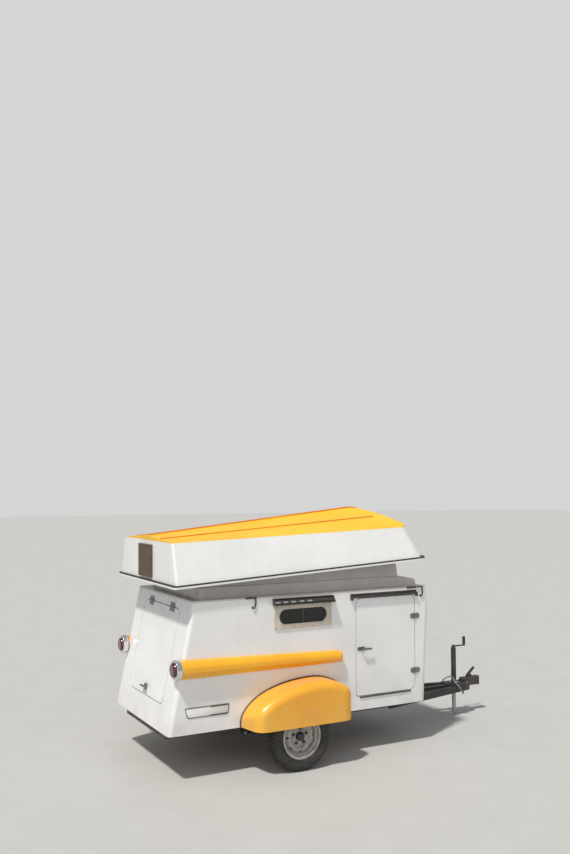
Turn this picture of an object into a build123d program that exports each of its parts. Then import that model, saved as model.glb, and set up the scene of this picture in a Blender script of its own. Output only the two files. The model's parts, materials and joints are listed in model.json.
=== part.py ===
from build123d import *
from functools import cache
from math import asin, atan2, cos, radians, sin, tan
import os

# A small camping trailer whose lift-off roof is an upturned dinghy.
# Sizes in millimetres. X runs forward to the hitch, Y to the left, Z up from the ground.
# X is measured from the body's rear bottom edge while building, and moved to the middle at the end.

# Body
body_length = 2346.0
body_width = 1220.0
body_bottom = 342.0
shoulder = 1310.0
rear_rake = 11.16
front_lean = 3.7
front_straight_top = 1040.0
front_round = 1065.0
rear_corner = 30.0
front_corner = 60.0
least_corner = 4.0
wall = 24.0
seat_gap = 0.3
flange_thickness = 12.0
half_width = body_width / 2
wall_top = shoulder - flange_thickness

# Side doors, hinged on their front edge
door_from_front = 118.0
door_length = 592.0
door_bottom = body_bottom + 113.0
door_top = shoulder - 67.0
door_rear_corner = 22.0
door_front_corner = 60.0
door_upper_corner = 45.0
door_gap = 6.0
door_edge = 2.0
door_front = body_length - door_from_front
door_rear = door_front - door_length
hinge_heights = (door_bottom + 155.0, door_top - 177.0)
hinge_height = 44.0
hinge_corner = 20.0
leaf_length = 48.0
leaf_thickness = 4.0
knuckle_radius = 6.5
pin_radius = 2.5
pin_clearance = 0.06
knuckle_gap = 0.4
handle_height = 834.0
handle_inset = 45.0
handle_plate_length = 74.0
handle_plate_tall = 30.0
handle_plate_thickness = 4.0
handle_post_radius = 8.0
handle_stand_off = 24.0
handle_lever_length = 98.0
handle_lever_tall = 15.0
handle_lever_thickness = 10.0

# Raised roof that stands inside the dinghy: a low step with a taller block on it
step_rise = 82.0
step_rear = 262.0
step_front = body_length + 8.0
step_half = half_width - 105.0
step_brow = 30.0
step_brow_rise = 52.0
roof_rise = 190.0
roof_spare = 200.0
roof_rear = 283.0
roof_front = body_length - 164.0
roof_half = half_width - 117.0
roof_draft = 0.09
roof_corner = 60.0
roof_round = 18.0
step_top = shoulder + step_rise
roof_top = shoulder + roof_rise

# Inside of the cabin
floor_thickness = 18.0
bulkhead_x = 560.0
bulkhead_thickness = 15.0
counter_height = 705.0
counter_thickness = 18.0
mattress_thickness = 100.0
mattress_gap = 6.0

# Side windows: a moulded plate with a long round-ended pane, and a hood of slats above
window_middle = door_rear - 505.0
window_height = shoulder - 165.0
window_length = 460.0
window_tall = 140.0
frame_length = 524.0
frame_tall = 188.0
frame_corner = 14.0
frame_proud = 9.0
frame_round = 3.0
frame_reveal = 12.0
frame_lap = 2.0
glass_thickness = 5.0
divider_width = 14.0
hood_length = 550.0
hood_tall = 50.0
hood_low = window_height + frame_tall / 2 + 1.0
hood_out = 58.0
hood_top_out = 20.0
hood_cheek = 5.0
hood_skin = 3.0
hood_slats = 3
hood_pitch = 13.0
hood_slope = 25.0

# Gutter over each door, turned down at both ends
gutter_rear = door_rear - 58.0
gutter_front = door_front + 22.0
gutter_low = shoulder - 61.0
gutter_tall = 36.0
gutter_out = 25.0
gutter_lip = 20.0
gutter_wall = 3.0
gutter_end = 16.0
gutter_drop = 16.0
gutter_round = 6.0

# Hold-down hooks for the dinghy: middle of the pad, and place of the hook that hangs from it
latch_places = (
    (window_middle - 463.0, window_middle - 433.0),
    (body_length - 152.0, body_length - 42.0),
)
latch_pad_length = 92.0
latch_pad_out = 12.0
latch_pad_low = shoulder - 8.0
latch_pad_high = shoulder + 6.0
latch_rod = 4.0
hook_drop = 70.0
hook_bulge = 9.0
hook_curl = 11.0

# Tail spears along the sides, with the tail lamps at their rear end
spear_rear = 80.0
spear_front = door_rear - 146.0
spear_bottom = 752.0
spear_rear_tall = 138.0
spear_front_tall = 92.0
spear_rear_out = 68.0
spear_front_out = 54.0
spear_crease = 0.36
spear_foot = 0.35
spear_bulge = 0.82
spear_shoulder = 0.8
spear_sink = 10.0
spear_nose_top = 54.0
spear_nose_low = 24.0
spear_nose_out = 48.0
ring_length = 42.0
ring_proud = 5.0
ring_round = 4.0
ring_lip = 8.0
lamp_length = 52.0
lamp_radius = 56.0
lamp_round = 20.0

# Wheels
axle_x = door_rear - 619.0
tyre_radius = 255.0
tyre_width = 135.0
tyre_middle = half_width + 132.0
tyre_bead_radius = 153.0
rim_flange_radius = 165.0
rim_well_radius = 136.0
rim_wall = 5.0
rim_width = 104.0
disc_thickness = 5.0
disc_offset = 12.0
disc_foot = 6.0
disc_bulge_radius = 88.0
disc_bulge = 14.0
disc_round = 8.0
edge_round = 1.5
vent_count = 8
vent_radius = 112.0
vent_size = 16.0
vent_round = 3.0
stud_circle = 114.3
stud_count = 5
stud_hole_radius = 6.75
centre_bore_radius = 35.0
cut_reach = 30.0
hub_radius = 30.0
hub_back = 20.0
hub_barrel = 6.0
hub_flange_radius = 70.0
hub_flange_thickness = 10.0
hub_cap_length = 38.0
hub_cap_edge = 8.0
hub_cap_room = 22.0
spindle_radius = 16.0
spindle_past = 15.0
running_gap = 0.05

# Fenders
fender_rear = axle_x - 434.0
fender_front = axle_x + 460.0
fender_top_x = axle_x + 183.0
fender_top = 660.0
fender_eye = 368.0
fender_brow = 450.0
fender_brow_corner = 130.0
fender_bottom = 345.0
fender_out = 238.0
fender_wall = 7.0
fender_rear_corner = 90.0
fender_front_corner = 110.0
fender_edge = 62.0
fender_shift = 2.0
fender_taper = 40.0
welt_tall = 7.0
welt_out = 8.0

# Chassis
rail_width = 44.0
rail_height = 60.0
rail_middle = half_width - 190.0
rail_rear = 40.0
rail_front = body_length - 26.0
cross_width = 40.0
cross_drop = 8.0
tongue_height = 60.0
tongue_width = 40.0
spine_width = 50.0
arm_rear_x = body_length - 156.0
arm_rear_y = 285.0
arm_front_x = body_length + 944.0
arm_front_y = 45.0
spine_rear = axle_x + 363.0
spine_front = arm_front_x - 185.0
cross_members = (
    rail_rear + 20.0,
    axle_x - 377.0,
    spine_rear + 20.0,
    body_length - 446.0,
    rail_front - 80.0,
)
axle_radius = 25.0
axle_short = 20.0
axle_seat_half = 40.0
axle_seat_drop = 5.0
spring_span = 620.0
spring_width = 45.0
spring_leaf = 7.0
spring_leaves = 3
spring_step = 75.0
spring_camber = 26.0
eye_radius = 13.0
hanger_wall = 5.0
hanger_length = 44.0
hanger_drop = 18.0

# Coupler and tongue jack
coupler_wing = arm_front_x - 48.0
coupler_rear = arm_front_x + 4.0
ball_x = arm_front_x + 130.0
ball_socket_radius = 24.2
socket_depth = 20.0
coupler_wall = 7.0
coupler_head_radius = 36.0
coupler_half = 30.0
coupler_wing_half = 72.0
coupler_wing_lap = 30.0
coupler_rise = 48.0
coupler_drop = 30.0
coupler_round = 9.0
lever_x = ball_x - 114.0
lever_base_length = 58.0
lever_base_half = 9.0
lever_base_tall = 20.0
lever_grip_x = lever_x + 8.0
lever_grip_half = 12.0
lever_grip_thickness = 14.0
lever_grip_length = 110.0
lever_grip_rise = 12.0
lever_lean = 50.0
jack_x = arm_front_x - 140.0
jack_outer_radius = 24.0
jack_inner_radius = 19.6
jack_leg_radius = 19.0
jack_tube_low = 195.0
jack_tube_top = 625.0
jack_cap = 10.0
jack_cap_round = 6.0
jack_flange_radius = 55.0
jack_leg_top = 420.0
jack_foot_radius = 65.0
jack_foot_thickness = 8.0
jack_plate = 8.0
deck_rear = 90.0
deck_front = 85.0
deck_half = 92.0
crank_hub_radius = 15.0
crank_hub_tall = 20.0
crank_reach = 130.0
crank_arm_half = 9.0
crank_arm_rise = 4.0
crank_arm_thickness = 10.0
grip_radius = 11.0
grip_tall = 88.0

# Upturned dinghy, tilted bow up about the foot of its transom
boat_tilt = 3.3
boat_rear = 40.0
boat_front = body_length + 11.0
boat_chine_x = boat_front - 111.0
gunwale = shoulder + 114.0
gunwale_half = half_width + 30.0
chine_half_rear = gunwale_half - 88.0
bow_corner = 120.0
transom_corner = 20.0
transom_lean = 14.0
hull_wall = 12.0
hull_tall = 470.0
boat_chine_height = 317.0
bow_chine_height = 268.0
# Ends of the bottom: station along X, chine above gunwale, keel above gunwale
bottom_sections = (
    (0.0, 318.0, 350.0),
    (boat_front + 43.0, 267.0, 465.0),
)
room_half = 900.0
room_depth = 200.0
forehead_start = boat_front - 397.0
forehead_top = 443.5
forehead_past = 12.0
forehead_foot = 80.0
gunwale_out = 20.0
gunwale_in = 34.0
gunwale_thickness = 14.0
rub_rail = 11.0
rub_rail_inset = 3.0
thwart_middles = (boat_rear + 580.0, boat_front - 717.0)
thwart_width = 230.0
thwart_thickness = 22.0
bearer_height = 12.0
bearer_width = 60.0
bearer_length = 200.0
bearer_half_spread = 300.0
transom_pad_width = 280.0
transom_pad_low = 30.0
transom_pad_high = 285.0
transom_pad_thickness = 20.0
strip_rear = boat_rear + 30.0
keel_width = 26.0
keel_height = 9.0
keel_front = boat_front - 240.0
strake_width = 14.0
strake_height = 6.0
strake_share = 0.5
strake_front = boat_front - 300.0

# Rear hatch, measured up along the raked rear wall
hatch_low = 190.0
hatch_high = 900.0
hatch_width = body_width - 460.0
hatch_corner = 50.0
hatch_gap = 6.0
hatch_hinge_spread = 230.0
hatch_hinge_half = 45.0
hatch_knuckle = 30.0
hatch_leaf = 34.0
hatch_handle_up = hatch_low + 60.0
hatch_foot_radius = 26.0
hatch_foot_out = 14.0
hatch_stem_radius = 7.0
hatch_stem_out = 30.0
hatch_bar_radius = 8.0
hatch_bar_out = 32.0
hatch_bar_length = 90.0

spare = 5.0
margin = 50.0
wide = 900.0
long = 3000.0
frame_bottom = body_bottom - rail_height
tongue_bottom = frame_bottom - tongue_height
coupler_top = frame_bottom + coupler_rise
coupler_low = frame_bottom - coupler_drop
spring_radius = ((spring_span / 2) ** 2 + spring_camber**2) / (2 * spring_camber)
spring_top = (
    tyre_radius - axle_radius - axle_seat_drop - seat_gap - axle_seat_half**2 / (2 * spring_radius)
)
eye_height = spring_top + spring_camber - spring_leaf / 2

rear_plane = Plane(
    origin=(0, 0, body_bottom),
    x_dir=(0, -1, 0),
    z_dir=(-cos(radians(rear_rake)), 0, sin(radians(rear_rake))),
)
boat_place = Pos(boat_rear, 0, gunwale) * Rot(0, -boat_tilt, 0) * Pos(-boat_rear, 0, -gunwale)


def block(x0, x1, y0, y1, z0, z1):
    """A box between two corners."""
    size = Box(x1 - x0, y1 - y0, z1 - z0)
    return Pos((x0 + x1) / 2, (y0 + y1) / 2, (z0 + z1) / 2) * size


def upright(x, y, z0, z1, radius):
    """A round upright piece."""
    return Pos(x, y, (z0 + z1) / 2) * Cylinder(radius, z1 - z0)


def across(face, y0, y1):
    """Extrude a face drawn in X and Z from y0 to y1."""
    plane = Plane(origin=(0, y1, 0), x_dir=(1, 0, 0), z_dir=(0, -1, 0))
    return extrude(plane * face, amount=y1 - y0)


def beside(face, x0, x1):
    """Extrude a face drawn outward and up from the right-hand wall, from x0 to x1."""
    plane = Plane(origin=(x1, -half_width, 0), x_dir=(0, -1, 0), z_dir=(-1, 0, 0))
    return extrude(plane * face, amount=x1 - x0)


def polygon(*points):
    """A face between straight lines."""
    return make_face(Polyline(*points, close=True))


def rounded(points):
    """A face through points that each carry the size of their rounding."""
    places = [(x, y) for x, y, size in points]
    sizes = [size for x, y, size in points]
    return make_face(FilletPolyline(*places, radius=sizes, close=True))


def pair(*solids):
    """Right-hand solids with their mirror images on the left."""
    both = [copy for solid in solids for copy in (solid, mirror(solid, about=Plane.XZ))]
    return Compound(children=both)


def rear_x(z, inset=0.0):
    """X of the raked rear face at height z, moved inward by inset."""
    return (z - body_bottom) * tan(radians(rear_rake)) + inset / cos(radians(rear_rake))


def front_edges(inset, z0, z1):
    """The front face's line and arc, moved inward by inset, from height z0 to z1."""
    lean = radians(front_lean)
    start_x = body_length + (front_straight_top - body_bottom) * tan(lean)
    centre_x = start_x - front_round * cos(lean)
    centre_z = front_straight_top + front_round * sin(lean)
    radius = front_round - inset
    joint = (centre_x + radius * cos(lean), centre_z - radius * sin(lean))
    foot = (joint[0] - (joint[1] - z0) * tan(lean), z0)
    top_angle = asin((z1 - centre_z) / radius)
    middle_angle = (top_angle - lean) / 2
    middle = (centre_x + radius * cos(middle_angle), centre_z + radius * sin(middle_angle))
    top = (centre_x + radius * cos(top_angle), z1)
    return [Line(foot, joint), ThreePointArc(joint, middle, top)], foot, top


def body_profile(inset, z0, z1):
    """The body's side view, moved inward by inset at the front and rear."""
    edges, foot, top = front_edges(inset, z0, z1)
    rear_foot = (rear_x(z0, inset), z0)
    rear_top = (rear_x(z1, inset), z1)
    edges += [Line(rear_foot, foot), Line(top, rear_top), Line(rear_top, rear_foot)]
    return make_face(edges)


def upright_edges(solid, half, front):
    """A block's upright edges on its sides, at the front or at the rear."""
    return [
        edge
        for edge in solid.edges()
        if abs(abs(edge.center().Y) - half) < 0.01
        and edge.bounding_box().size.Z > margin
        and (edge.center().X > body_length / 2) == front
    ]


@cache
def body_block(inset):
    """The whole body as one block with rounded upright corners, a little taller than the walls."""
    half = half_width - inset
    solid = across(body_profile(inset, body_bottom - spare, shoulder + spare), -half, half)
    solid = fillet(upright_edges(solid, half, False), max(rear_corner - inset, least_corner))
    return fillet(upright_edges(solid, half, True), max(front_corner - inset, least_corner))


def body_solid(inset, z0, z1):
    """A level slice of the body's block."""
    return body_block(inset) & block(-long, long, -wide, wide, z0, z1)


def rear_zone(depth):
    """All the room behind a plane that lies depth in front of the rear face."""
    low = body_bottom - margin
    high = shoulder + margin
    face = polygon((-wide, low), (rear_x(low, depth), low), (rear_x(high, depth), high), (-wide, high))
    return across(face, -wide, wide)


def front_zone(depth):
    """All the room in front of a curve that lies depth behind the front face."""
    edges, foot, top = front_edges(depth, body_bottom - margin, shoulder + margin)
    far = body_length + wide
    edges += [Line(top, (far, top[1])), Line((far, top[1]), (far, foot[1])), Line((far, foot[1]), foot)]
    return across(make_face(edges), -wide, wide)


def door_outline(grow):
    """The door's rounded outline in X and Z, grown by grow."""
    rear, front = door_rear - grow, door_front + grow
    low, high = door_bottom - grow, door_top + grow
    return rounded(
        [
            (rear, low, door_rear_corner + grow),
            (front, low, door_front_corner + grow),
            (front, high, door_upper_corner + grow),
            (rear, high, door_upper_corner + grow),
        ]
    )


def window_outline(grow):
    """The window's stadium outline in X and Z, grown by grow."""
    slot = SlotOverall(window_length + 2 * grow, window_tall + 2 * grow)
    return Pos(window_middle, window_height) * slot


def walls():
    """The four walls of the body, split at the rounded corners."""
    ring = body_solid(0, body_bottom, wall_top) - body_solid(wall, body_bottom - 1, wall_top + 1)
    rear = ring & rear_zone(rear_corner)
    front = ring & front_zone(front_corner)
    sides = ring - rear_zone(rear_corner) - front_zone(front_corner)
    right = sides & block(-long, long, -wide, 0, 0, shoulder)
    outer_y = -half_width - 1
    inner_y = -half_width + wall + 1
    right -= across(door_outline(door_gap), outer_y, inner_y)
    right -= across(window_outline(0), outer_y, inner_y)
    opening = rear_plane * Pos(0, (hatch_low + hatch_high) / 2) * RectangleRounded(
        hatch_width + 2 * hatch_gap, hatch_high - hatch_low + 2 * hatch_gap, hatch_corner + hatch_gap
    )
    rear -= extrude(opening, amount=wall + 1, both=True)
    return right, mirror(right, about=Plane.XZ), front, rear


def tapered_block(rear, front, half, inset, z0, z1):
    """A block with rounded corners, moved inward by inset, that draws in above the shoulder."""
    sections = []
    for z in (z0, z1):
        draw = roof_draft * (z - shoulder) + inset
        outline = RectangleRounded(front - rear - 2 * draw, 2 * (half - draw), roof_corner)
        sections.append(Plane.XY.offset(z) * Pos((rear + front) / 2, 0) * outline)
    return loft(sections, ruled=True)


def roof_step(inset, low):
    """The roof's low step, moved inward by inset, with a nose that falls to the front wall."""
    step = tapered_block(step_rear, step_front, step_half, inset, low, step_top - inset)
    front = step_front - inset
    nose = polygon(
        (0, low - spare),
        (front, low - spare),
        (front, shoulder - inset),
        (front - step_brow, shoulder + step_brow_rise - inset),
        (roof_front - inset, step_top - inset),
        (roof_front - inset, step_top + spare),
        (0, step_top + spare),
    )
    return step & across(nose, -half_width, half_width)


def roof_crown(inset, low):
    """The roof's taller block, moved inward by inset, cut parallel to the dinghy's seats."""
    crown = tapered_block(roof_rear, roof_front, roof_half, inset, low, roof_top + roof_spare)
    return crown & (boat_place * block(-long, long, -wide, wide, 0, roof_top - inset))


def roof():
    """The roof moulding: a flange on the walls, a low step and a taller hollow block."""
    crown = roof_crown(0, shoulder - 1)
    crown = fillet(crown.faces().sort_by(Axis.Z)[-1].edges(), roof_round)
    moulding = body_solid(0, wall_top, shoulder) + roof_step(0, shoulder - 1) + crown
    low = wall_top - 1
    return moulding - roof_step(flange_thickness, low) - roof_crown(flange_thickness, low)


def cabin_floor():
    """The plywood floor inside the walls."""
    return body_solid(wall + seat_gap, body_bottom, body_bottom + floor_thickness)


def bulkhead():
    """The upright panel between the sleeping cabin and the rear galley."""
    room = body_solid(wall + seat_gap, body_bottom + floor_thickness, wall_top)
    return room & block(bulkhead_x, bulkhead_x + bulkhead_thickness, -wide, wide, 0, long)


def galley_counter():
    """The shelf behind the rear hatch."""
    room = body_solid(wall + seat_gap, body_bottom, wall_top)
    return room & block(-wide, bulkhead_x, -wide, wide, counter_height, counter_height + counter_thickness)


def mattress():
    """The sleeping pad on the floor."""
    low = body_bottom + floor_thickness + seat_gap
    room = body_solid(wall + mattress_gap, low, low + mattress_thickness)
    start = bulkhead_x + bulkhead_thickness + mattress_gap
    return room & block(start, long, -wide, wide, 0, long)


def window_frame():
    """The moulded frame round the right-hand window, with a bar across its middle."""
    outer_y = -half_width - frame_proud
    slot_y = -half_width + wall / 2
    plate = Pos(window_middle, window_height) * RectangleRounded(frame_length, frame_tall, frame_corner)
    frame = across(plate, outer_y, -half_width - seat_gap)
    frame = fillet(frame.faces().sort_by(Axis.Y)[0].edges(), frame_round)
    frame += across(window_outline(-seat_gap), -half_width - 1, -half_width + wall)
    frame -= across(window_outline(-frame_reveal), outer_y - 1, -half_width + wall + 1)
    groove = window_outline(-frame_reveal / 2)
    frame -= across(groove, slot_y - glass_thickness / 2, slot_y + glass_thickness / 2)
    return frame + block(
        window_middle - divider_width / 2,
        window_middle + divider_width / 2,
        slot_y + glass_thickness / 2,
        -half_width + wall,
        window_height - window_tall / 2 + frame_lap,
        window_height + window_tall / 2 - frame_lap,
    )


def window_glass():
    """The dark pane in the right-hand window frame."""
    slot_y = -half_width + wall / 2
    half = glass_thickness / 2 - seat_gap
    return across(window_outline(-frame_reveal / 2 - seat_gap), slot_y - half, slot_y + half)


def window_hood():
    """The hood over the right-hand window: a back and a lid, two cheeks and sloping slats."""
    rear = window_middle - hood_length / 2
    front = window_middle + hood_length / 2
    high = hood_low + hood_tall
    back = seat_gap + hood_skin
    cheek = polygon((seat_gap, hood_low), (hood_out, hood_low), (hood_top_out, high), (seat_gap, high))
    hood = beside(cheek, rear, rear + hood_cheek) + beside(cheek, front - hood_cheek, front)
    hood += beside(polygon((seat_gap, hood_low), (back, hood_low), (back, high), (seat_gap, high)), rear, front)
    lid = high - hood_skin
    hood += beside(polygon((seat_gap, lid), (hood_top_out, lid), (hood_top_out, high), (seat_gap, high)), rear, front)
    for number in range(hood_slats):
        low = hood_low + number * hood_pitch
        out = hood_out - (hood_out - hood_top_out) * (number * hood_pitch + hood_skin) / hood_tall
        rise = (out - seat_gap) * tan(radians(hood_slope))
        slat = polygon(
            (out, low), (out, low + hood_skin), (seat_gap, low + hood_skin + rise), (seat_gap, low + rise)
        )
        hood += beside(slat, rear, front)
    return hood


def gutter():
    """The gutter over the right-hand door, half round below and turned down at both ends."""
    radius = (gutter_out - seat_gap) / 2
    near, far = seat_gap, gutter_out
    middle = seat_gap + radius
    bend = gutter_low + radius
    lip = gutter_low + gutter_lip
    top = gutter_low + gutter_tall
    thin = gutter_wall
    section = make_face(
        [
            Line((near, top), (near, bend)),
            ThreePointArc((near, bend), (middle, gutter_low), (far, bend)),
            Line((far, bend), (far, lip)),
            Line((far, lip), (far - thin, lip)),
            Line((far - thin, lip), (far - thin, bend)),
            ThreePointArc((far - thin, bend), (middle, gutter_low + thin), (near + thin, bend)),
            Line((near + thin, bend), (near + thin, top)),
            Line((near + thin, top), (near, top)),
        ]
    )
    channel = beside(section, gutter_rear, gutter_front)
    drop = gutter_lip + gutter_drop
    end = RectangleRounded(gutter_end, drop, gutter_round)
    for x in (gutter_rear + gutter_end / 2, gutter_front - gutter_end / 2):
        place = Pos(x, lip - drop / 2)
        channel += across(place * end, -half_width - far, -half_width - near)
    return channel


def door_panel():
    """The right-hand door, as thick as the wall."""
    door = across(door_outline(0), -half_width, -half_width + wall)
    return fillet(door.faces().sort_by(Axis.Y)[0].edges(), door_edge)


def hinge_axis():
    """Where the right-hand door's pins stand, in X and Y."""
    return door_front + door_gap / 2, -half_width - knuckle_radius


def hinge_leaf(middle, x0, x1):
    """The part of an oval hinge plate that lies between x0 and x1."""
    x = hinge_axis()[0]
    far = -half_width - seat_gap
    plate = Pos(x, middle) * RectangleRounded(2 * leaf_length, hinge_height, hinge_corner)
    plate = across(plate, far - leaf_thickness, far)
    return plate & block(x0, x1, far - 2 * leaf_thickness, far + 1, middle - hinge_height, middle + hinge_height)


def body_leaves():
    """The hinge leaves on the right-hand wall, with their pins."""
    x, y = hinge_axis()
    third = hinge_height / 3
    leaves = []
    for middle in hinge_heights:
        low = middle - hinge_height / 2
        high = middle + hinge_height / 2
        leaf = hinge_leaf(middle, x, x + leaf_length)
        leaf += upright(x, y, low, low + third, knuckle_radius)
        leaf += upright(x, y, high - third, high, knuckle_radius)
        leaf -= upright(x, y, low + third, high - third, knuckle_radius + knuckle_gap)
        leaves.append(leaf + upright(x, y, low, high, pin_radius))
    return leaves


def door_leaves():
    """The hinge leaves on the right-hand door."""
    x, y = hinge_axis()
    third = hinge_height / 3
    leaves = []
    for middle in hinge_heights:
        low = middle - hinge_height / 2
        high = middle + hinge_height / 2
        leaf = hinge_leaf(middle, x - leaf_length, x)
        leaf -= upright(x, y, low - 1, low + third, knuckle_radius + knuckle_gap)
        leaf -= upright(x, y, high - third, high + 1, knuckle_radius + knuckle_gap)
        leaf += upright(x, y, low + third + knuckle_gap, high - third - knuckle_gap, knuckle_radius)
        leaves.append(leaf - upright(x, y, low - 1, high + 1, pin_radius + pin_clearance))
    return Compound(children=leaves)


def door_handle():
    """The lever handle on the right-hand door, pointing forward."""
    x = door_rear + handle_inset
    far = -half_width - seat_gap
    stand_off = far - handle_stand_off
    plate = SlotOverall(handle_plate_length, handle_plate_tall)
    lever = SlotOverall(handle_lever_length, handle_lever_tall)
    reach = (handle_lever_length - handle_lever_tall) / 2
    handle = across(Pos(x, handle_height) * plate, far - handle_plate_thickness, far)
    handle += across(Pos(x, handle_height) * Circle(handle_post_radius), stand_off - 1, far)
    return handle + across(Pos(x + reach, handle_height) * lever, stand_off - handle_lever_thickness, stand_off)


def hatch_panel():
    """The rear hatch, as thick as the wall."""
    outline = rear_plane * Pos(0, (hatch_low + hatch_high) / 2) * RectangleRounded(
        hatch_width, hatch_high - hatch_low, hatch_corner
    )
    return extrude(outline, amount=-wall)


def on_rear(x0, x1, up0, up1, out0, out1):
    """A box on the raked rear wall: across, up along it and out from it."""
    size = Box(x1 - x0, up1 - up0, out1 - out0)
    return rear_plane * (Pos((x0 + x1) / 2, (up0 + up1) / 2, (out0 + out1) / 2) * size)


def rear_rod(y0, y1, radius):
    """A round piece on the hatch's hinge line."""
    up = hatch_high + hatch_gap / 2
    rod = Rot(0, 90, 0) * Cylinder(radius, y1 - y0)
    return rear_plane * (Pos(-(y0 + y1) / 2, up, knuckle_radius) * rod)


def hatch_hinges(side):
    """The hatch's two hinges: the leaves on the wall, or those on the hatch."""
    up = hatch_high + hatch_gap / 2
    far = seat_gap + leaf_thickness
    leaves = []
    for middle in (-hatch_hinge_spread, hatch_hinge_spread):
        low = middle - hatch_hinge_half
        high = middle + hatch_hinge_half
        inner_low = low + hatch_knuckle
        inner_high = high - hatch_knuckle
        if side == "wall":
            leaf = on_rear(-high, -low, up, up + hatch_leaf, seat_gap, far)
            leaf += rear_rod(low, inner_low, knuckle_radius) + rear_rod(inner_high, high, knuckle_radius)
            leaf -= rear_rod(inner_low, inner_high, knuckle_radius + knuckle_gap)
            leaf += rear_rod(low, high, pin_radius)
        else:
            leaf = on_rear(-high, -low, up - hatch_leaf, up, seat_gap, far)
            leaf -= rear_rod(low - 1, inner_low, knuckle_radius + knuckle_gap)
            leaf -= rear_rod(inner_high, high + 1, knuckle_radius + knuckle_gap)
            leaf += rear_rod(inner_low + knuckle_gap, inner_high - knuckle_gap, knuckle_radius)
            leaf -= rear_rod(low - 1, high + 1, pin_radius + pin_clearance)
        leaves.append(leaf)
    return Compound(children=leaves)


def hatch_handle():
    """The T-handle low on the hatch."""
    foot_tall = hatch_foot_out - seat_gap
    foot = Pos(0, hatch_handle_up, seat_gap + foot_tall / 2) * Cylinder(hatch_foot_radius, foot_tall)
    stem = Pos(0, hatch_handle_up, 1 + hatch_stem_out / 2) * Cylinder(hatch_stem_radius, hatch_stem_out)
    bar = Pos(0, hatch_handle_up, hatch_bar_out) * Rot(0, 90, 0) * Cylinder(hatch_bar_radius, hatch_bar_length)
    return rear_plane * (foot + stem + bar)


def spear_section(x, tall, out):
    """The tail spear's section at x: rounded above a crease, and drawn in below it."""
    crease = tall * spear_crease
    shoulder_point = (out * spear_bulge, tall * spear_shoulder)
    arc = ThreePointArc((-spear_sink, tall), shoulder_point, (out, crease))
    rest = Polyline((out, crease), (out * spear_foot, 0), (-spear_sink, 0), (-spear_sink, tall))
    plane = Plane(origin=(x, -half_width, spear_bottom), x_dir=(0, -1, 0), z_dir=(-1, 0, 0))
    return plane * make_face([arc, rest])


def spear():
    """The right-hand tail spear with a rounded nose, cut to sit on the wall."""
    solid = loft(
        [
            spear_section(spear_rear, spear_rear_tall, spear_rear_out),
            spear_section(spear_front, spear_front_tall, spear_front_out),
        ],
        ruled=True,
    )
    side_view = rounded(
        [
            (spear_rear - 1, spear_bottom - 1, 0.5),
            (spear_front - 1, spear_bottom - 1, spear_nose_low),
            (spear_front - 1, spear_bottom + spear_front_tall + 0.5, spear_nose_top),
            (spear_rear - 1, spear_bottom + spear_rear_tall + 0.5, 0.5),
        ]
    )
    solid &= across(side_view, -half_width - 2 * spear_rear_out, -half_width + 2 * spear_sink)
    plan = rounded(
        [
            (spear_rear - 1, -half_width - spear_rear_out - 0.5, 0.5),
            (spear_front - 1, -half_width - spear_front_out - 0.5, spear_nose_out),
            (spear_front - 1, -half_width + 2 * spear_sink, 0.5),
            (spear_rear - 1, -half_width + 2 * spear_sink, 0.5),
        ]
    )
    solid &= Pos(0, 0, spear_bottom - spare) * extrude(plan, amount=2 * spear_rear_tall)
    return solid - body_solid(-seat_gap, body_bottom, shoulder)


def on_spear(x0, x1, radius):
    """A round piece in line with the spear's rear end."""
    height = spear_bottom + spear_rear_tall / 2
    rod = Rot(0, 90, 0) * Cylinder(radius, x1 - x0)
    return Pos((x0 + x1) / 2, -half_width, height) * rod


def lamp_ring():
    """The bright ring round the right-hand tail lamp."""
    front = spear_rear - seat_gap
    ring = on_spear(front - ring_length, front, spear_rear_tall / 2 + ring_proud)
    ring = fillet(ring.edges(), ring_round)
    ring -= on_spear(front - ring_length - 1, front - ring_lip, lamp_radius + seat_gap)
    return ring - body_solid(-seat_gap, body_bottom, shoulder)


def tail_lamp():
    """The right-hand tail lamp's domed lens."""
    front = spear_rear - seat_gap - ring_lip - seat_gap
    lens = on_spear(front - lamp_length, front, lamp_radius)
    lens = fillet(lens.faces().sort_by(Axis.X)[0].edges(), lamp_round)
    return lens - body_solid(-seat_gap, body_bottom, shoulder)


def fender_view(grow):
    """The fender's side view, grown by grow: a quarter ellipse behind, a flatter arc and a round corner ahead."""
    low = fender_bottom
    top = fender_top + grow
    rear = fender_rear - grow
    front = fender_front + grow
    radius = fender_brow + grow
    centre_z = top - radius
    middle = (fender_top_x + front) / 2
    middle_z = centre_z + (radius**2 - (middle - fender_top_x) ** 2) ** 0.5
    front_z = centre_z + (radius**2 - (front - fender_top_x) ** 2) ** 0.5
    view = make_face(
        [
            EllipticalCenterArc((fender_top_x, fender_eye), fender_top_x - rear, top - fender_eye, 90, arc_size=90),
            Line((rear, fender_eye), (rear, low)),
            Line((rear, low), (front, low)),
            Line((front, low), (front, front_z)),
            ThreePointArc((front, front_z), (middle, middle_z), (fender_top_x, top)),
        ]
    )
    brow = [corner for corner in view.vertices() if corner.X > front - 1 and corner.Y > fender_eye]
    return fillet(brow, fender_brow_corner + grow)


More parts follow.
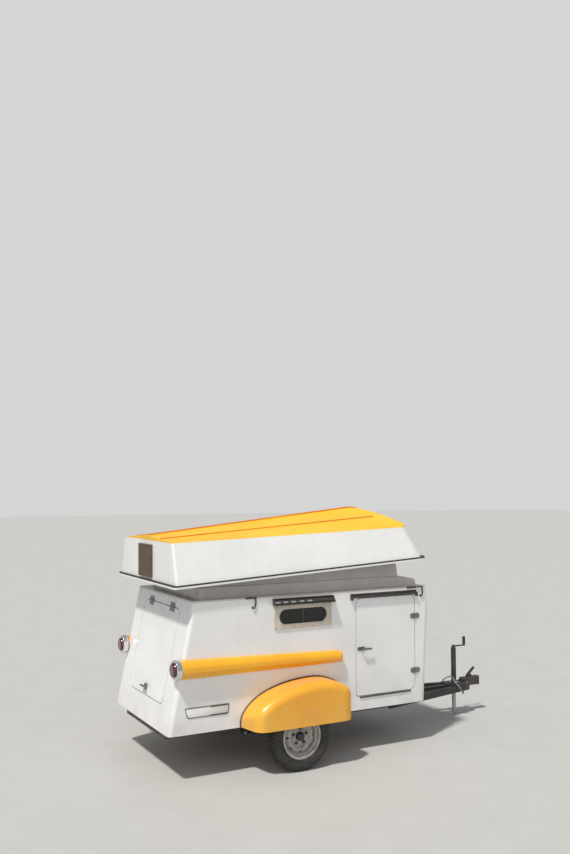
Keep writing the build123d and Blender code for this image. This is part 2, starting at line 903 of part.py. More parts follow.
def fender_form():
    """The fender as a full block: its side view met by its plan, with a rounded edge."""
    near = -half_width - seat_gap
    out = -half_width - fender_out
    inside = near + spare
    solid = across(fender_view(0), out, near)
    plan = FilletPolyline(
        (fender_rear, inside),
        (fender_rear + fender_taper, out),
        (fender_front, out),
        (fender_front, inside),
        radius=[fender_rear_corner, fender_front_corner],
    )
    plan = make_face(plan + Line((fender_front, inside), (fender_rear, inside)))
    solid &= Pos(0, 0, fender_bottom - spare) * extrude(plan, amount=fender_top)
    crest = [
        line
        for line in solid.edges()
        if line.center().Y < near - spare
        and line.bounding_box().size.X > spare
        and line.bounding_box().max.Z > fender_bottom + fender_edge / 2
    ]
    return fillet(crest, fender_edge)


def fender():
    """The right-hand fender, open below and towards the wheel."""
    form = fender_form()
    share = 1 - fender_wall / fender_out
    move_x = (1 - share) * (fender_rear + fender_front) / 2
    move_y = fender_shift - (1 - share) * half_width
    move_z = (1 - share) * fender_bottom - fender_shift
    return form - Pos(move_x, move_y, move_z) * scale(form, share)


def fender_welt():
    """The rubber bead between the right-hand fender and the wall."""
    strip = fender_view(welt_tall) - fender_view(seat_gap)
    return across(strip, -half_width - welt_out, -half_width - seat_gap)


def boat_latch(pad_x, hook_x):
    """A loose hold-down hook on the right-hand side, hung from a pad on the shoulder."""
    far = -half_width - seat_gap
    near = -half_width - latch_pad_out
    half = latch_pad_length / 2
    pad = block(pad_x - half, pad_x + half, near, far, latch_pad_low, latch_pad_high)
    top = (latch_pad_low + latch_pad_high) / 2
    low = top - hook_drop
    middle = (top + low) / 2
    strap = block(pad_x, hook_x + latch_rod, near, near + 2 * latch_rod, top - latch_rod, top + latch_rod)
    bow = make_face(
        [
            ThreePointArc(
                (hook_x + latch_rod, top), (hook_x + hook_bulge + latch_rod, middle), (hook_x + latch_rod, low)
            ),
            Line((hook_x + latch_rod, low), (hook_x - latch_rod, low)),
            ThreePointArc(
                (hook_x - latch_rod, low), (hook_x + hook_bulge - latch_rod, middle), (hook_x - latch_rod, top)
            ),
            Line((hook_x - latch_rod, top), (hook_x + latch_rod, top)),
        ]
    )
    curl = Pos(hook_x - hook_curl, low) * (Circle(hook_curl + latch_rod) - Circle(hook_curl - latch_rod))
    reach = hook_curl + 2 * latch_rod
    half_curl = across(curl, near, near + 2 * latch_rod)
    half_curl &= block(hook_x - 3 * reach, hook_x + reach, near - 1, far, low - reach, low + latch_rod)
    return pad + strap + across(bow, near, near + 2 * latch_rod) + half_curl


def wheel_turn(face):
    """Revolve a face drawn in Y and Z about the wheel's own line."""
    return Pos(axle_x, 0, tyre_radius) * revolve(Plane.YZ * face, Axis.Y, 360)


def wheel_cut(face, y0, y1):
    """A cut along the wheel's own line."""
    return Pos(axle_x, 0, tyre_radius) * across(face, y0, y1)


def both_sides(half_outline):
    """A wheel section from its half: distance from the middle plane, from the wheel's line, rounding."""
    middle = -tyre_middle
    right = [(middle - side, radius, size) for side, radius, size in half_outline]
    left = [(middle + side, radius, size) for side, radius, size in reversed(half_outline)]
    return right + left


def tyre():
    """The right-hand tyre."""
    half = tyre_width / 2
    bead = rim_width / 2 - rim_wall - seat_gap
    outline = (
        (bead, tyre_bead_radius, 3.0),
        (bead, rim_flange_radius + 2, 8.0),
        (bead + 13, rim_flange_radius + 16, 20.0),
        (half, tyre_radius - 52, 30.0),
        (half, tyre_radius - 38, 30.0),
        (half - 15, tyre_radius - 8, 20.0),
        (half - 32, tyre_radius, 36.0),
    )
    return wheel_turn(rounded(both_sides(outline)))


def rim():
    """The right-hand wheel's rim: flanges, bead seats and a well."""
    half = rim_width / 2
    seat = tyre_bead_radius - seat_gap
    outside = (
        (half, rim_flange_radius, edge_round),
        (half, seat - rim_wall, 4.0),
        (half - 24, seat - rim_wall, 6.0),
        (half - 32, rim_well_radius - rim_wall, 6.0),
    )
    tyre_side = (
        (half - 34, rim_well_radius, 6.0),
        (half - 26, seat, 6.0),
        (half - rim_wall, seat, 3.0),
        (half - rim_wall, rim_flange_radius, edge_round),
    )
    back = [(-tyre_middle + side, radius, size) for side, radius, size in reversed(tyre_side)]
    front = [(-tyre_middle - side, radius, size) for side, radius, size in tyre_side]
    return wheel_turn(rounded(both_sides(outside) + back + front))


def disc_face():
    """Y of the wheel disc's outer face at the hub."""
    return -tyre_middle - disc_offset


def stud_holes(solid, y0, y1):
    """Cut the stud holes."""
    for number in range(stud_count):
        hole = Rot(0, 0, 360 / stud_count * number) * (Pos(0, stud_circle / 2) * Circle(stud_hole_radius))
        solid -= wheel_cut(hole, y0, y1)
    return solid


def wheel():
    """The right-hand steel wheel: a rim and a dished disc with vents and stud holes."""
    face_y = disc_face()
    outer = rim_well_radius - rim_wall + 1
    crown = face_y - disc_bulge
    disc = wheel_turn(
        rounded(
            [
                (face_y, centre_bore_radius, edge_round),
                (face_y, disc_bulge_radius - 14, disc_round),
                (crown, disc_bulge_radius, disc_round),
                (crown, disc_bulge_radius + 18, disc_round),
                (face_y + disc_foot, outer, edge_round),
                (face_y + disc_foot + disc_thickness, outer, edge_round),
                (crown + disc_thickness, disc_bulge_radius + 16, disc_round),
                (crown + disc_thickness, disc_bulge_radius + 2, disc_round),
                (face_y + disc_thickness, disc_bulge_radius - 12, disc_round),
                (face_y + disc_thickness, centre_bore_radius, edge_round),
            ]
        )
    )
    triangle = RegularPolygon(vent_size, 3, rotation=-90)
    triangle = fillet(triangle.vertices(), vent_round)
    for number in range(vent_count):
        vent = Rot(0, 0, 360 / vent_count * number) * (Pos(0, vent_radius) * triangle)
        disc -= wheel_cut(vent, face_y - cut_reach, face_y + cut_reach)
    return rim() + stud_holes(disc, face_y - cut_reach, face_y + cut_reach)


def hub():
    """The right-hand hub with its flange behind the disc and its grease cap in front."""
    face_y = disc_face() + disc_thickness + seat_gap
    back_y = -half_width - hub_back
    flange_y = face_y + hub_flange_thickness
    barrel = hub_radius + hub_barrel
    bore = spindle_radius + running_gap
    outline = polygon(
        (back_y, bore),
        (back_y, barrel),
        (flange_y, barrel),
        (flange_y, hub_flange_radius),
        (face_y, hub_flange_radius),
        (face_y, hub_radius),
        (face_y - hub_cap_length + hub_cap_edge, hub_radius),
        (face_y - hub_cap_length, hub_radius - hub_cap_edge),
        (face_y - hub_cap_length, 0),
        (face_y - hub_cap_room, 0),
        (face_y - hub_cap_room, bore),
    )
    return stud_holes(wheel_turn(outline), face_y - 1, flange_y + 1)


def axle():
    """The axle beam with a spindle at each end and its spring seats."""
    line = Pos(axle_x, 0, tyre_radius) * Rot(90, 0, 0)
    spindle_end = spindle_past - disc_face() - disc_thickness
    beam = line * Cylinder(axle_radius, body_width - axle_short) + line * Cylinder(spindle_radius, 2 * spindle_end)
    seat_low = tyre_radius - axle_radius - axle_seat_drop
    half = rail_width / 2
    for side in (-1, 1):
        y = side * rail_middle
        beam += block(axle_x - axle_seat_half, axle_x + axle_seat_half, y - half, y + half, seat_low, tyre_radius)
    return beam


def leaf(number):
    """One leaf's side view: an arc that rises from the axle, shorter for each leaf further down."""
    half = spring_span / 2 - number * spring_step
    centre_z = spring_top + spring_radius
    corners = []
    arcs = []
    for depth in (number * spring_leaf, (number + 1) * spring_leaf):
        radius = spring_radius + depth
        end_z = centre_z - (radius**2 - half**2) ** 0.5
        ends = ((axle_x - half, end_z), (axle_x + half, end_z))
        arcs.append(ThreePointArc(ends[0], (axle_x, centre_z - radius), ends[1]))
        corners.append(ends)
    sides = [Line(corners[0][side], corners[1][side]) for side in (0, 1)]
    return make_face(arcs + sides)


def leaf_spring():
    """The right-hand leaf spring: a pack of leaves with an eye at each end."""
    y0 = -rail_middle - spring_width / 2
    y1 = -rail_middle + spring_width / 2
    spring = across(leaf(0), y0, y1)
    for number in range(1, spring_leaves):
        spring += across(leaf(number), y0, y1)
    for side in (-1, 1):
        eye = Pos(axle_x + side * spring_span / 2, eye_height) * Circle(eye_radius)
        spring += across(eye, y0, y1)
    return spring


def frame_rail():
    """The right-hand frame rail with its two spring hangers."""
    y0 = -rail_middle - rail_width / 2
    y1 = -rail_middle + rail_width / 2
    rail = block(rail_rear, rail_front, y0, y1, frame_bottom, body_bottom)
    half = spring_width / 2 + seat_gap
    outer = half + hanger_wall
    low = eye_height - hanger_drop
    for side in (-1, 1):
        x0 = axle_x + side * spring_span / 2 - hanger_length / 2
        x1 = x0 + hanger_length
        hanger = block(x0, x1, -outer, outer, low, frame_bottom)
        hanger -= block(x0 - 1, x1 + 1, -half, half, low - 1, frame_bottom - hanger_wall)
        rail += Pos(0, -rail_middle, 0) * hanger
    return rail


def cross_member_set():
    """The cross members between the frame rails."""
    reach = rail_middle - rail_width / 2 - seat_gap
    half = cross_width / 2
    high = body_bottom - cross_drop
    members = [block(x - half, x + half, -reach, reach, frame_bottom, high) for x in cross_members]
    return Compound(children=members)


def tongue_arm():
    """The right-hand slanting arm of the tongue."""
    run = arm_front_x - arm_rear_x
    side = arm_rear_y - arm_front_y
    slant = tongue_width / 2 * (run**2 + side**2) ** 0.5 / run
    plan = polygon(
        (arm_rear_x, -arm_rear_y - slant),
        (arm_front_x, -arm_front_y - slant),
        (arm_front_x, -arm_front_y + slant),
        (arm_rear_x, -arm_rear_y + slant),
    )
    return extrude(Plane.XY.offset(tongue_bottom) * plan, amount=tongue_height - seat_gap)


def tongue_spine():
    """The middle tube of the tongue, under the cross members."""
    half = spine_width / 2
    return block(spine_rear, spine_front, -half, half, tongue_bottom, frame_bottom - seat_gap)


def ball_socket():
    """The room for the tow ball: a straight throat with a round top."""
    radius = ball_socket_radius
    bend = (radius * cos(radians(45)), socket_depth + radius * sin(radians(45)))
    outline = [
        Line((0, -1), (radius, -1)),
        Line((radius, -1), (radius, socket_depth)),
        ThreePointArc((radius, socket_depth), bend, (0, socket_depth + radius)),
        Line((0, socket_depth + radius), (0, -1)),
    ]
    return revolve(Plane.XZ * make_face(outline), Axis.Z, 360)


def coupler():
    """The ball coupler: a channel on the tongue arms with a wing, a round head and a socket below."""
    channel = block(coupler_rear, ball_x, -coupler_half, coupler_half, coupler_low, coupler_top)
    channel += block(coupler_wing, ball_x, -coupler_half, coupler_half, frame_bottom, coupler_top)
    channel += upright(ball_x, 0, coupler_low, coupler_top, coupler_head_radius)
    shape = fillet(channel.faces().sort_by(Axis.Z)[-1].edges(), coupler_round)
    lap = coupler_rear + coupler_wing_lap
    wing = polygon(
        (coupler_wing, -coupler_wing_half),
        (lap, -coupler_half),
        (lap, coupler_half),
        (coupler_wing, coupler_wing_half),
    )
    shape += extrude(Plane.XY.offset(frame_bottom) * wing, amount=coupler_wall)
    return shape - Pos(ball_x, 0, coupler_low) * ball_socket()


def coupler_lever():
    """The latch lever on top of the coupler."""
    base = block(
        lever_x,
        lever_x + lever_base_length,
        -lever_base_half,
        lever_base_half,
        coupler_top + seat_gap,
        coupler_top + lever_base_tall,
    )
    half = lever_grip_thickness / 2
    grip = block(-half, half, -lever_grip_half, lever_grip_half, 0, lever_grip_length)
    return base + Pos(lever_grip_x, 0, coupler_top + lever_grip_rise) * Rot(0, lever_lean, 0) * grip


def jack_deck():
    """The plate over the tongue arms that carries the jack and the coupler's tail."""
    plate = block(
        jack_x - deck_rear, jack_x + deck_front, -deck_half, deck_half, frame_bottom, frame_bottom + jack_plate
    )
    return plate - upright(jack_x, 0, frame_bottom - 1, frame_bottom + jack_plate + 1, jack_outer_radius + seat_gap)


def jack_tube():
    """The jack's outer tube with its flange and top cap."""
    tube = upright(jack_x, 0, jack_tube_low, jack_tube_top, jack_outer_radius)
    tube = fillet(tube.faces().sort_by(Axis.Z)[-1].edges(), jack_cap_round)
    flange_low = frame_bottom + jack_plate + seat_gap
    tube += upright(jack_x, 0, flange_low, flange_low + jack_plate, jack_flange_radius)
    return tube - upright(jack_x, 0, jack_tube_low - 1, jack_tube_top - jack_cap, jack_inner_radius)


def jack_crank():
    """The crank on top of the jack: a hub, an arm and an upright grip."""
    low = jack_tube_top + seat_gap
    arm_low = low + crank_arm_rise
    arm_end = jack_x + crank_reach + crank_arm_half
    crank = upright(jack_x, 0, low, low + crank_hub_tall, crank_hub_radius)
    crank += block(jack_x, arm_end, -crank_arm_half, crank_arm_half, arm_low, arm_low + crank_arm_thickness)
    return crank + upright(jack_x + crank_reach, 0, arm_low, arm_low + grip_tall, grip_radius)


def jack_leg():
    """The jack's inner leg with its round foot."""
    foot = upright(jack_x, 0, 0, jack_foot_thickness, jack_foot_radius)
    return foot + upright(jack_x, 0, jack_foot_thickness / 2, jack_leg_top, jack_leg_radius)


def hull_half(height, inset):
    """Half the hull's width at a height above the gunwale."""
    slope = (gunwale_half - chine_half_rear) / boat_chine_height
    return gunwale_half - slope * height - inset


def hull_plan(rear, front, half):
    """The hull's plan: small corners at the transom and large ones at the bow."""
    r = transom_corner
    b = bow_corner
    k = 1 - cos(radians(45))
    edges = [
        Line((rear + r, -half), (front - b, -half)),
        ThreePointArc((front - b, -half), (front - b * k, -half + b * k), (front, -half + b)),
        Line((front, -half + b), (front, half - b)),
        ThreePointArc((front, half - b), (front - b * k, half - b * k), (front - b, half)),
        Line((front - b, half), (rear + r, half)),
        ThreePointArc((rear + r, half), (rear + r * k, half - r * k), (rear, half - r)),
        Line((rear, half - r), (rear, -half + r)),
        ThreePointArc((rear, -half + r), (rear + r * k, -half + r * k), (rear + r, -half)),
    ]
    return make_face(edges)


def hull_sides(inset, z0, z1):
    """The hull's sides as one tapering block between two heights above the gunwale."""
    sections = []
    for z in (z0, z1):
        rear = boat_rear + transom_lean * z / boat_chine_height + inset
        front = boat_front - (boat_front - boat_chine_x) * z / bow_chine_height - inset
        sections.append(Plane.XY.offset(gunwale + z) * hull_plan(rear, front, hull_half(z, inset)))
    return loft(sections, ruled=True)


def forehead(drop):
    """Side view of the room under the bottom, rounded down to the bow, lowered by drop."""
    run = boat_chine_x - forehead_start
    fall = forehead_top - bow_chine_height
    full_radius = (run**2 + fall**2) / (2 * fall)
    centre_z = gunwale + forehead_top - full_radius
    radius = full_radius - drop
    first = radians(90)
    last = first - asin(run / full_radius) - radians(forehead_past)
    start, middle, end = [
        (forehead_start + radius * cos(angle), centre_z + radius * sin(angle))
        for angle in (first, (first + last) / 2, last)
    ]
    high = gunwale + wide
    low = gunwale - room_depth - margin
    corners = [end, (end[0] + forehead_foot, low), (-wide, low), (-wide, high), (forehead_start, high), start]
    return make_face([ThreePointArc(start, middle, end), Polyline(corners)])


def bottom_room(drop):
    """All the room under the hull's bottom, lowered by drop."""
    sections = []
    low = gunwale - room_depth
    for x, chine, keel in bottom_sections:
        keel_z = gunwale + keel - drop
        side_z = keel_z - (keel - chine) / hull_half(chine, 0) * room_half
        face = polygon((-room_half, low), (room_half, low), (room_half, side_z), (0, keel_z), (-room_half, side_z))
        sections.append(Plane(origin=(x, 0, 0), x_dir=(0, 1, 0), z_dir=(1, 0, 0)) * face)
    room = loft(sections, ruled=True)
    return room & across(forehead(drop), -room_half - margin, room_half + margin)


def boat_hull():
    """The dinghy's hull as a shell, and the room inside it."""
    outer = hull_sides(0, 0, hull_tall) & bottom_room(0)
    room = hull_sides(hull_wall, -1, hull_tall + 1) & bottom_room(hull_wall)
    return outer - room, room


def boat_ring(inner, outer, z0, z1):
    """A flat ring that follows the gunwale between two offsets from it."""
    rings = []
    for grow in (outer, inner):
        plan = hull_plan(boat_rear - grow, boat_front + grow, gunwale_half + grow)
        rings.append(extrude(Plane.XY.offset(z0) * plan, amount=z1 - z0))
    return rings[0] - rings[1]


def thwarts(room):
    """The dinghy's two seats, cut to the inside of the hull."""
    low = roof_top + bearer_height + seat_gap
    half = thwart_width / 2
    boards = [block(x - half, x + half, -wide, wide, low, low + thwart_thickness) for x in thwart_middles]
    return Compound(children=[board & room for board in boards])


def roof_bearers():
    """The rubber blocks on the raised roof that the seats rest on."""
    half_x = bearer_width / 2
    half_y = bearer_length / 2
    high = roof_top + bearer_height
    blocks = []
    for x in thwart_middles:
        for y in (-bearer_half_spread, bearer_half_spread):
            blocks.append(block(x - half_x, x + half_x, y - half_y, y + half_y, roof_top, high))
    return Compound(children=blocks)


def transom_pads():
    """The motor pads on the outside and inside of the transom."""
    lean = transom_lean / boat_chine_height
    half = transom_pad_width / 2
    low_z = gunwale + transom_pad_low
    high_z = gunwale + transom_pad_high
    pads = []
    for shift in (-transom_pad_thickness - seat_gap, hull_wall + seat_gap):
        low_x = boat_rear + lean * transom_pad_low + shift
        high_x = boat_rear + lean * transom_pad_high + shift
        side_view = polygon(
            (low_x, low_z),
            (low_x + transom_pad_thickness, low_z),
            (high_x + transom_pad_thickness, high_z),
            (high_x, high_z),
        )
        pads.append(across(side_view, -half, half))
    return Compound(children=pads)


def bottom_strip(height, width, front, y):
    """A strip along the bottom of the dinghy."""
    strip = bottom_room(-height) - bottom_room(-seat_gap)
    return strip & block(strip_rear, front, y - width / 2, y + width / 2, gunwale, gunwale + wide)


def boat():
    """Every node of the dinghy by name, in its tilted place."""
    hull, room = boat_hull()
    strake_y = strake_share * chine_half_rear
    strake = bottom_strip(strake_height, strake_width, strake_front, -strake_y)
    nodes = {
        "boat_hull": hull,
        "boat_gunwale": boat_ring(-gunwale_in, gunwale_out, gunwale - gunwale_thickness, gunwale),
        "boat_rub_rail": boat_ring(seat_gap, gunwale_out - rub_rail_inset, gunwale + seat_gap, gunwale + rub_rail),
        "boat_thwarts": thwarts(room),
        "transom_pads": transom_pads(),
        "keel_strip": bottom_strip(keel_height, keel_width, keel_front, 0),
        "bottom_strakes": pair(strake),
        "roof_bearers": roof_bearers(),
    }
    return {name: boat_place * shape for name, shape in nodes.items()}


def doors():
    """Every node of the two side doors by name."""
    right = {"door": door_panel(), "door_handle": door_handle(), "door_hinge_leaves": door_leaves()}
    nodes = {"right_" + name: shape for name, shape in right.items()}
    nodes.update({"left_" + name: mirror(shape, about=Plane.XZ) for name, shape in right.items()})
    return nodes


def road_wheels():
    """Every node of the two wheels by name; the left ones are the right ones turned half round."""
    right = {"tyre": tyre(), "wheel": wheel(), "hub": hub()}
    half_turn = Pos(axle_x, 0, 0) * Rot(0, 0, 180) * Pos(-axle_x, 0, 0)
    nodes = {"right_" + name: shape for name, shape in right.items()}
    nodes.update({"left_" + name: half_turn * shape for name, shape in right.items()})
    return nodes


def build():
    """Every node of the trailer by name."""
    right_side, left_side, front_wall, rear_wall = walls()
    nodes = {
        "right_side_wall": right_side,
        "left_side_wall": left_side,
        "front_wall": front_wall,
        "rear_wall": rear_wall,
        "roof": roof(),
        "cabin_floor": cabin_floor(),
        "bulkhead": bulkhead(),
        "galley_counter": galley_counter(),
        "mattress": mattress(),
        "window_frames": pair(window_frame()),
        "window_glass": pair(window_glass()),
        "window_hoods": pair(window_hood()),
        "drip_rails": pair(gutter()),
        "boat_latches": pair(*[boat_latch(pad_x, hook_x) for pad_x, hook_x in latch_places]),
        "tail_spears": pair(spear()),
        "lamp_rings": pair(lamp_ring()),
        "tail_lamps": pair(tail_lamp()),
        "fenders": pair(fender()),
        "fender_welts": pair(fender_welt()),
        "door_hinge_plates": pair(*body_leaves()),
        "hatch_hinge_plates": hatch_hinges("wall"),
        "frame_rails": pair(frame_rail()),
        "cross_members": cross_member_set(),
        "tongue_arms": pair(tongue_arm()),
        "tongue_spine": tongue_spine(),
        "coupler": coupler(),
        "coupler_lever": coupler_lever(),
        "jack_deck": jack_deck(),
        "jack_tube": jack_tube(),
        "jack_crank": jack_crank(),
        "jack_leg": jack_leg(),
        "axle": axle(),
        "leaf_springs": pair(leaf_spring()),
        "rear_hatch": hatch_panel(),
        "hatch_hinge_leaves": hatch_hinges("hatch"),
        "hatch_handle": hatch_handle(),
    }
    nodes.update(boat())
    nodes.update(doors())
    nodes.update(road_wheels())
    return nodes


def main():
    os.makedirs("parts", exist_ok=True)
    nodes = build()
    boxes = [shape.bounding_box() for shape in nodes.values()]
    rear_end = min(box.min.X for box in boxes)
    front_end = max(box.max.X for box in boxes)
    middle = (rear_end + front_end) / 2
    for name, shape in nodes.items():
        export_step(Pos(-middle, 0, 0) * shape, os.path.join("parts", name + ".step"))
    print("origin is", round(middle, 3), "mm ahead of the body's rear bottom edge")


main()
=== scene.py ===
import json
import math

import bmesh
import bpy
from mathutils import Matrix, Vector


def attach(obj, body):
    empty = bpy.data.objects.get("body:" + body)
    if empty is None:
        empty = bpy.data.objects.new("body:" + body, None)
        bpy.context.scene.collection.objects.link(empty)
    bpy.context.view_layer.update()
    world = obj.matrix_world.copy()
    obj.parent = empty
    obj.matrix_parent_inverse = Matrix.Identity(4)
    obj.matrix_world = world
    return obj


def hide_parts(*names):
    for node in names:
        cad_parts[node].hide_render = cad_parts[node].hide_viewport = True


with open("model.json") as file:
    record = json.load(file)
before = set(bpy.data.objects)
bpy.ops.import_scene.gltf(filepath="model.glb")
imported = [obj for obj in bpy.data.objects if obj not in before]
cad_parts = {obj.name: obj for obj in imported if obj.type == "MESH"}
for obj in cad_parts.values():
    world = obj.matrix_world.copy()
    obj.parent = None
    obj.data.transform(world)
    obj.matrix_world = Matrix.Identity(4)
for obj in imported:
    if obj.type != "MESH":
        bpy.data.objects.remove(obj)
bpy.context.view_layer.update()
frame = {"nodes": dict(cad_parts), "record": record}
nodes = frame["nodes"]

# Places are in the drawing's millimetres, with X counted forward from the body's rear bottom edge
ORIGIN = 1728.0
HALF_WIDTH = 610.0


def at(x, y, z):
    """A point of the drawing in the scene's metres."""
    return Vector(((x - ORIGIN) / 1000, y / 1000, z / 1000))


# Camera, as worked out from the picture's parallel edges and horizon

SENSOR_WIDTH = 36.0
LENS = 36.67
CAMERA_PLACE = (-4.088, -6.689, 2.156)
CAMERA_HEADING = (0.480, 0.877)
CAMERA_PITCH = math.radians(4.0)
FAR_END = 200.0


def make_camera():
    data = bpy.data.cameras.new("camera")
    data.sensor_width = SENSOR_WIDTH
    data.lens = LENS
    data.clip_end = FAR_END
    camera = bpy.data.objects.new("camera", data)
    camera.location = CAMERA_PLACE
    ahead, aside = (part * math.cos(CAMERA_PITCH) for part in CAMERA_HEADING)
    forward = Vector((ahead, aside, math.sin(CAMERA_PITCH)))
    camera.rotation_mode = "QUATERNION"
    camera.rotation_quaternion = forward.to_track_quat("-Z", "Y")
    bpy.context.scene.collection.objects.link(camera)
    bpy.context.scene.camera = camera


# Light and floor

STUDIO_COLOUR = (0.93, 0.96, 1.0, 1.0)
STUDIO_STRENGTH = 0.38
BACKDROP_COLOUR = (0.66, 0.665, 0.66, 1.0)
FLOOR_COLOUR = (0.50, 0.495, 0.48)
FLOOR_SIDE = 60.0


def make_sun(name, direction, strength, angle, colour):
    data = bpy.data.lights.new(name, "SUN")
    data.energy = strength
    data.angle = math.radians(angle)
    data.color = colour
    lamp = bpy.data.objects.new(name, data)
    lamp.rotation_mode = "QUATERNION"
    lamp.rotation_quaternion = Vector(direction).to_track_quat("-Z", "Y")
    bpy.context.scene.collection.objects.link(lamp)


def background(tree, colour, strength):
    made = tree.nodes.new("ShaderNodeBackground")
    made.inputs["Color"].default_value = colour
    made.inputs["Strength"].default_value = strength
    return made.outputs[0]


def make_world():
    """Soft light from all round, and a plain backdrop for the camera and behind glass."""
    world = bpy.data.worlds.new("studio")
    bpy.context.scene.world = world
    world.use_nodes = True
    tree = world.node_tree
    tree.nodes.clear()
    output = tree.nodes.new("ShaderNodeOutputWorld")
    path = tree.nodes.new("ShaderNodeLightPath")
    mix = tree.nodes.new("ShaderNodeMixShader")
    either = tree.nodes.new("ShaderNodeMath")
    either.operation = "MAXIMUM"
    tree.links.new(path.outputs["Is Camera Ray"], either.inputs[0])
    tree.links.new(path.outputs["Is Transmission Ray"], either.inputs[1])
    tree.links.new(either.outputs[0], mix.inputs[0])
    tree.links.new(background(tree, STUDIO_COLOUR, STUDIO_STRENGTH), mix.inputs[1])
    tree.links.new(background(tree, BACKDROP_COLOUR, 1.0), mix.inputs[2])
    tree.links.new(mix.outputs[0], output.inputs["Surface"])


def make_floor():
    mesh = bpy.data.meshes.new("floor")
    corners = [(x * FLOOR_SIDE, y * FLOOR_SIDE, 0) for x, y in ((-1, -1), (1, -1), (1, 1), (-1, 1))]
    mesh.from_pydata(corners, [], [(0, 1, 2, 3)])
    floor = bpy.data.objects.new("floor", mesh)
    bpy.context.scene.collection.objects.link(floor)
    shade = Shader("floor", FLOOR_COLOUR, 0.85)
    shade.mottle((0.51, 0.505, 0.49), (0.49, 0.485, 0.47), 3.0)
    mesh.materials.append(shade.material)


# Materials

class Shader:
    """A material made of the Principled shader with its detail built on it."""

    def __init__(self, name, colour, roughness, metallic=0.0, coat=0.0, coat_roughness=0.05):
        self.material = bpy.data.materials.new(name)
        self.material.use_nodes = True
        self.material.diffuse_color = (*colour, 1.0)
        self.tree = self.material.node_tree
        self.shader = self.tree.nodes["Principled BSDF"]
        self.set("Base Color", (*colour, 1.0))
        self.set("Roughness", roughness)
        self.set("Metallic", metallic)
        self.set("Coat Weight", coat)
        self.set("Coat Roughness", coat_roughness)
        self.coords = self.node("ShaderNodeTexCoord").outputs["Object"]

    def set(self, socket, value):
        self.shader.inputs[socket].default_value = value

    def node(self, kind, **settings):
        made = self.tree.nodes.new(kind)
        for name, value in settings.items():
            setattr(made, name, value)
        return made

    def link(self, source, target):
        self.tree.links.new(source, target)

    def stretched(self, scale):
        """Object coordinates, stretched."""
        mapping = self.node("ShaderNodeMapping")
        mapping.inputs["Scale"].default_value = scale
        self.link(self.coords, mapping.inputs["Vector"])
        return mapping.outputs["Vector"]

    def noise(self, scale, detail=4.0, coords=None, roughness=0.55):
        texture = self.node("ShaderNodeTexNoise")
        texture.inputs["Scale"].default_value = scale
        texture.inputs["Detail"].default_value = detail
        texture.inputs["Roughness"].default_value = roughness
        self.link(coords or self.coords, texture.inputs["Vector"])
        return texture.outputs["Fac"]

    def ranged(self, value, low, high, out_low=0.0, out_high=1.0):
        """Stretch a value's span from low to high over another span."""
        mapped = self.node("ShaderNodeMapRange")
        sockets = ("From Min", "From Max", "To Min", "To Max")
        for socket, number in zip(sockets, (low, high, out_low, out_high)):
            mapped.inputs[socket].default_value = number
        self.link(value, mapped.inputs["Value"])
        return mapped.outputs["Result"]

    def patches(self, scale, detail, low, high, strength=1.0):
        """Patches of noise, from nothing to strength."""
        return self.ranged(self.noise(scale, detail), low, high, 0.0, strength)

    def math(self, operation, first, second):
        made = self.node("ShaderNodeMath", operation=operation)
        for socket, value in zip(made.inputs, (first, second)):
            if isinstance(value, float):
                socket.default_value = value
            else:
                self.link(value, socket)
        return made.outputs[0]

    def dot(self, first, second):
        """The dot product of a socket and a vector or a socket."""
        made = self.node("ShaderNodeVectorMath", operation="DOT_PRODUCT")
        self.link(first, made.inputs[0])
        if isinstance(second, Vector):
            made.inputs[1].default_value = second
        else:
            self.link(second, made.inputs[1])
        return made.outputs["Value"]

    def mix(self, factor, first, second):
        """A colour between two, each a colour or a socket."""
        made = self.node("ShaderNodeMix", data_type="RGBA")
        self.link(factor, made.inputs["Factor"])
        for socket, value in ((made.inputs[6], first), (made.inputs[7], second)):
            if isinstance(value, tuple):
                socket.default_value = (*value, 1.0)
            else:
                self.link(value, socket)
        return made.outputs[2]

    def colour(self, source):
        self.link(source, self.shader.inputs["Base Color"])

    def mottle(self, first, second, scale, detail=5.0):
        """Let the colour wander between two near ones."""
        self.colour(self.mix(self.patches(scale, detail, 0.35, 0.65), first, second))

    def axes(self):
        """Object coordinates, axis by axis."""
        parts = self.node("ShaderNodeSeparateXYZ")
        self.link(self.coords, parts.inputs[0])
        return parts.outputs

    def dusty(self, colour, dust, low, high, strength):
        """Dust that thickens towards the ground, in patches."""
        near_ground = self.ranged(self.axes()["Z"], high, low, 0.0, strength)
        spread = self.math("MULTIPLY", near_ground, self.patches(7.0, 8.0, 0.3, 0.75))
        self.colour(self.mix(spread, colour, dust))

    def streaks(self, colour, stain, strength):
        """A colour with faint runs of water down its upright faces."""
        runs = self.noise(1.0, 3.0, self.stretched((34.0, 34.0, 1.6)))
        return self.mix(self.ranged(runs, 0.56, 0.78, 0.0, strength), colour, stain)

    def rough(self, low, high, scale, detail=4.0):
        """Let the roughness wander."""
        spread = self.ranged(self.noise(scale, detail), 0.3, 0.7, low, high)
        self.link(spread, self.shader.inputs["Roughness"])

    def bump(self, value, distance, strength=1.0, after=None):
        made = self.node("ShaderNodeBump")
        made.inputs["Strength"].default_value = strength
        made.inputs["Distance"].default_value = distance
        self.link(value, made.inputs["Height"])
        if after is not None:
            self.link(after, made.inputs["Normal"])
        self.link(made.outputs["Normal"], self.shader.inputs["Normal"])
        return made.outputs["Normal"]


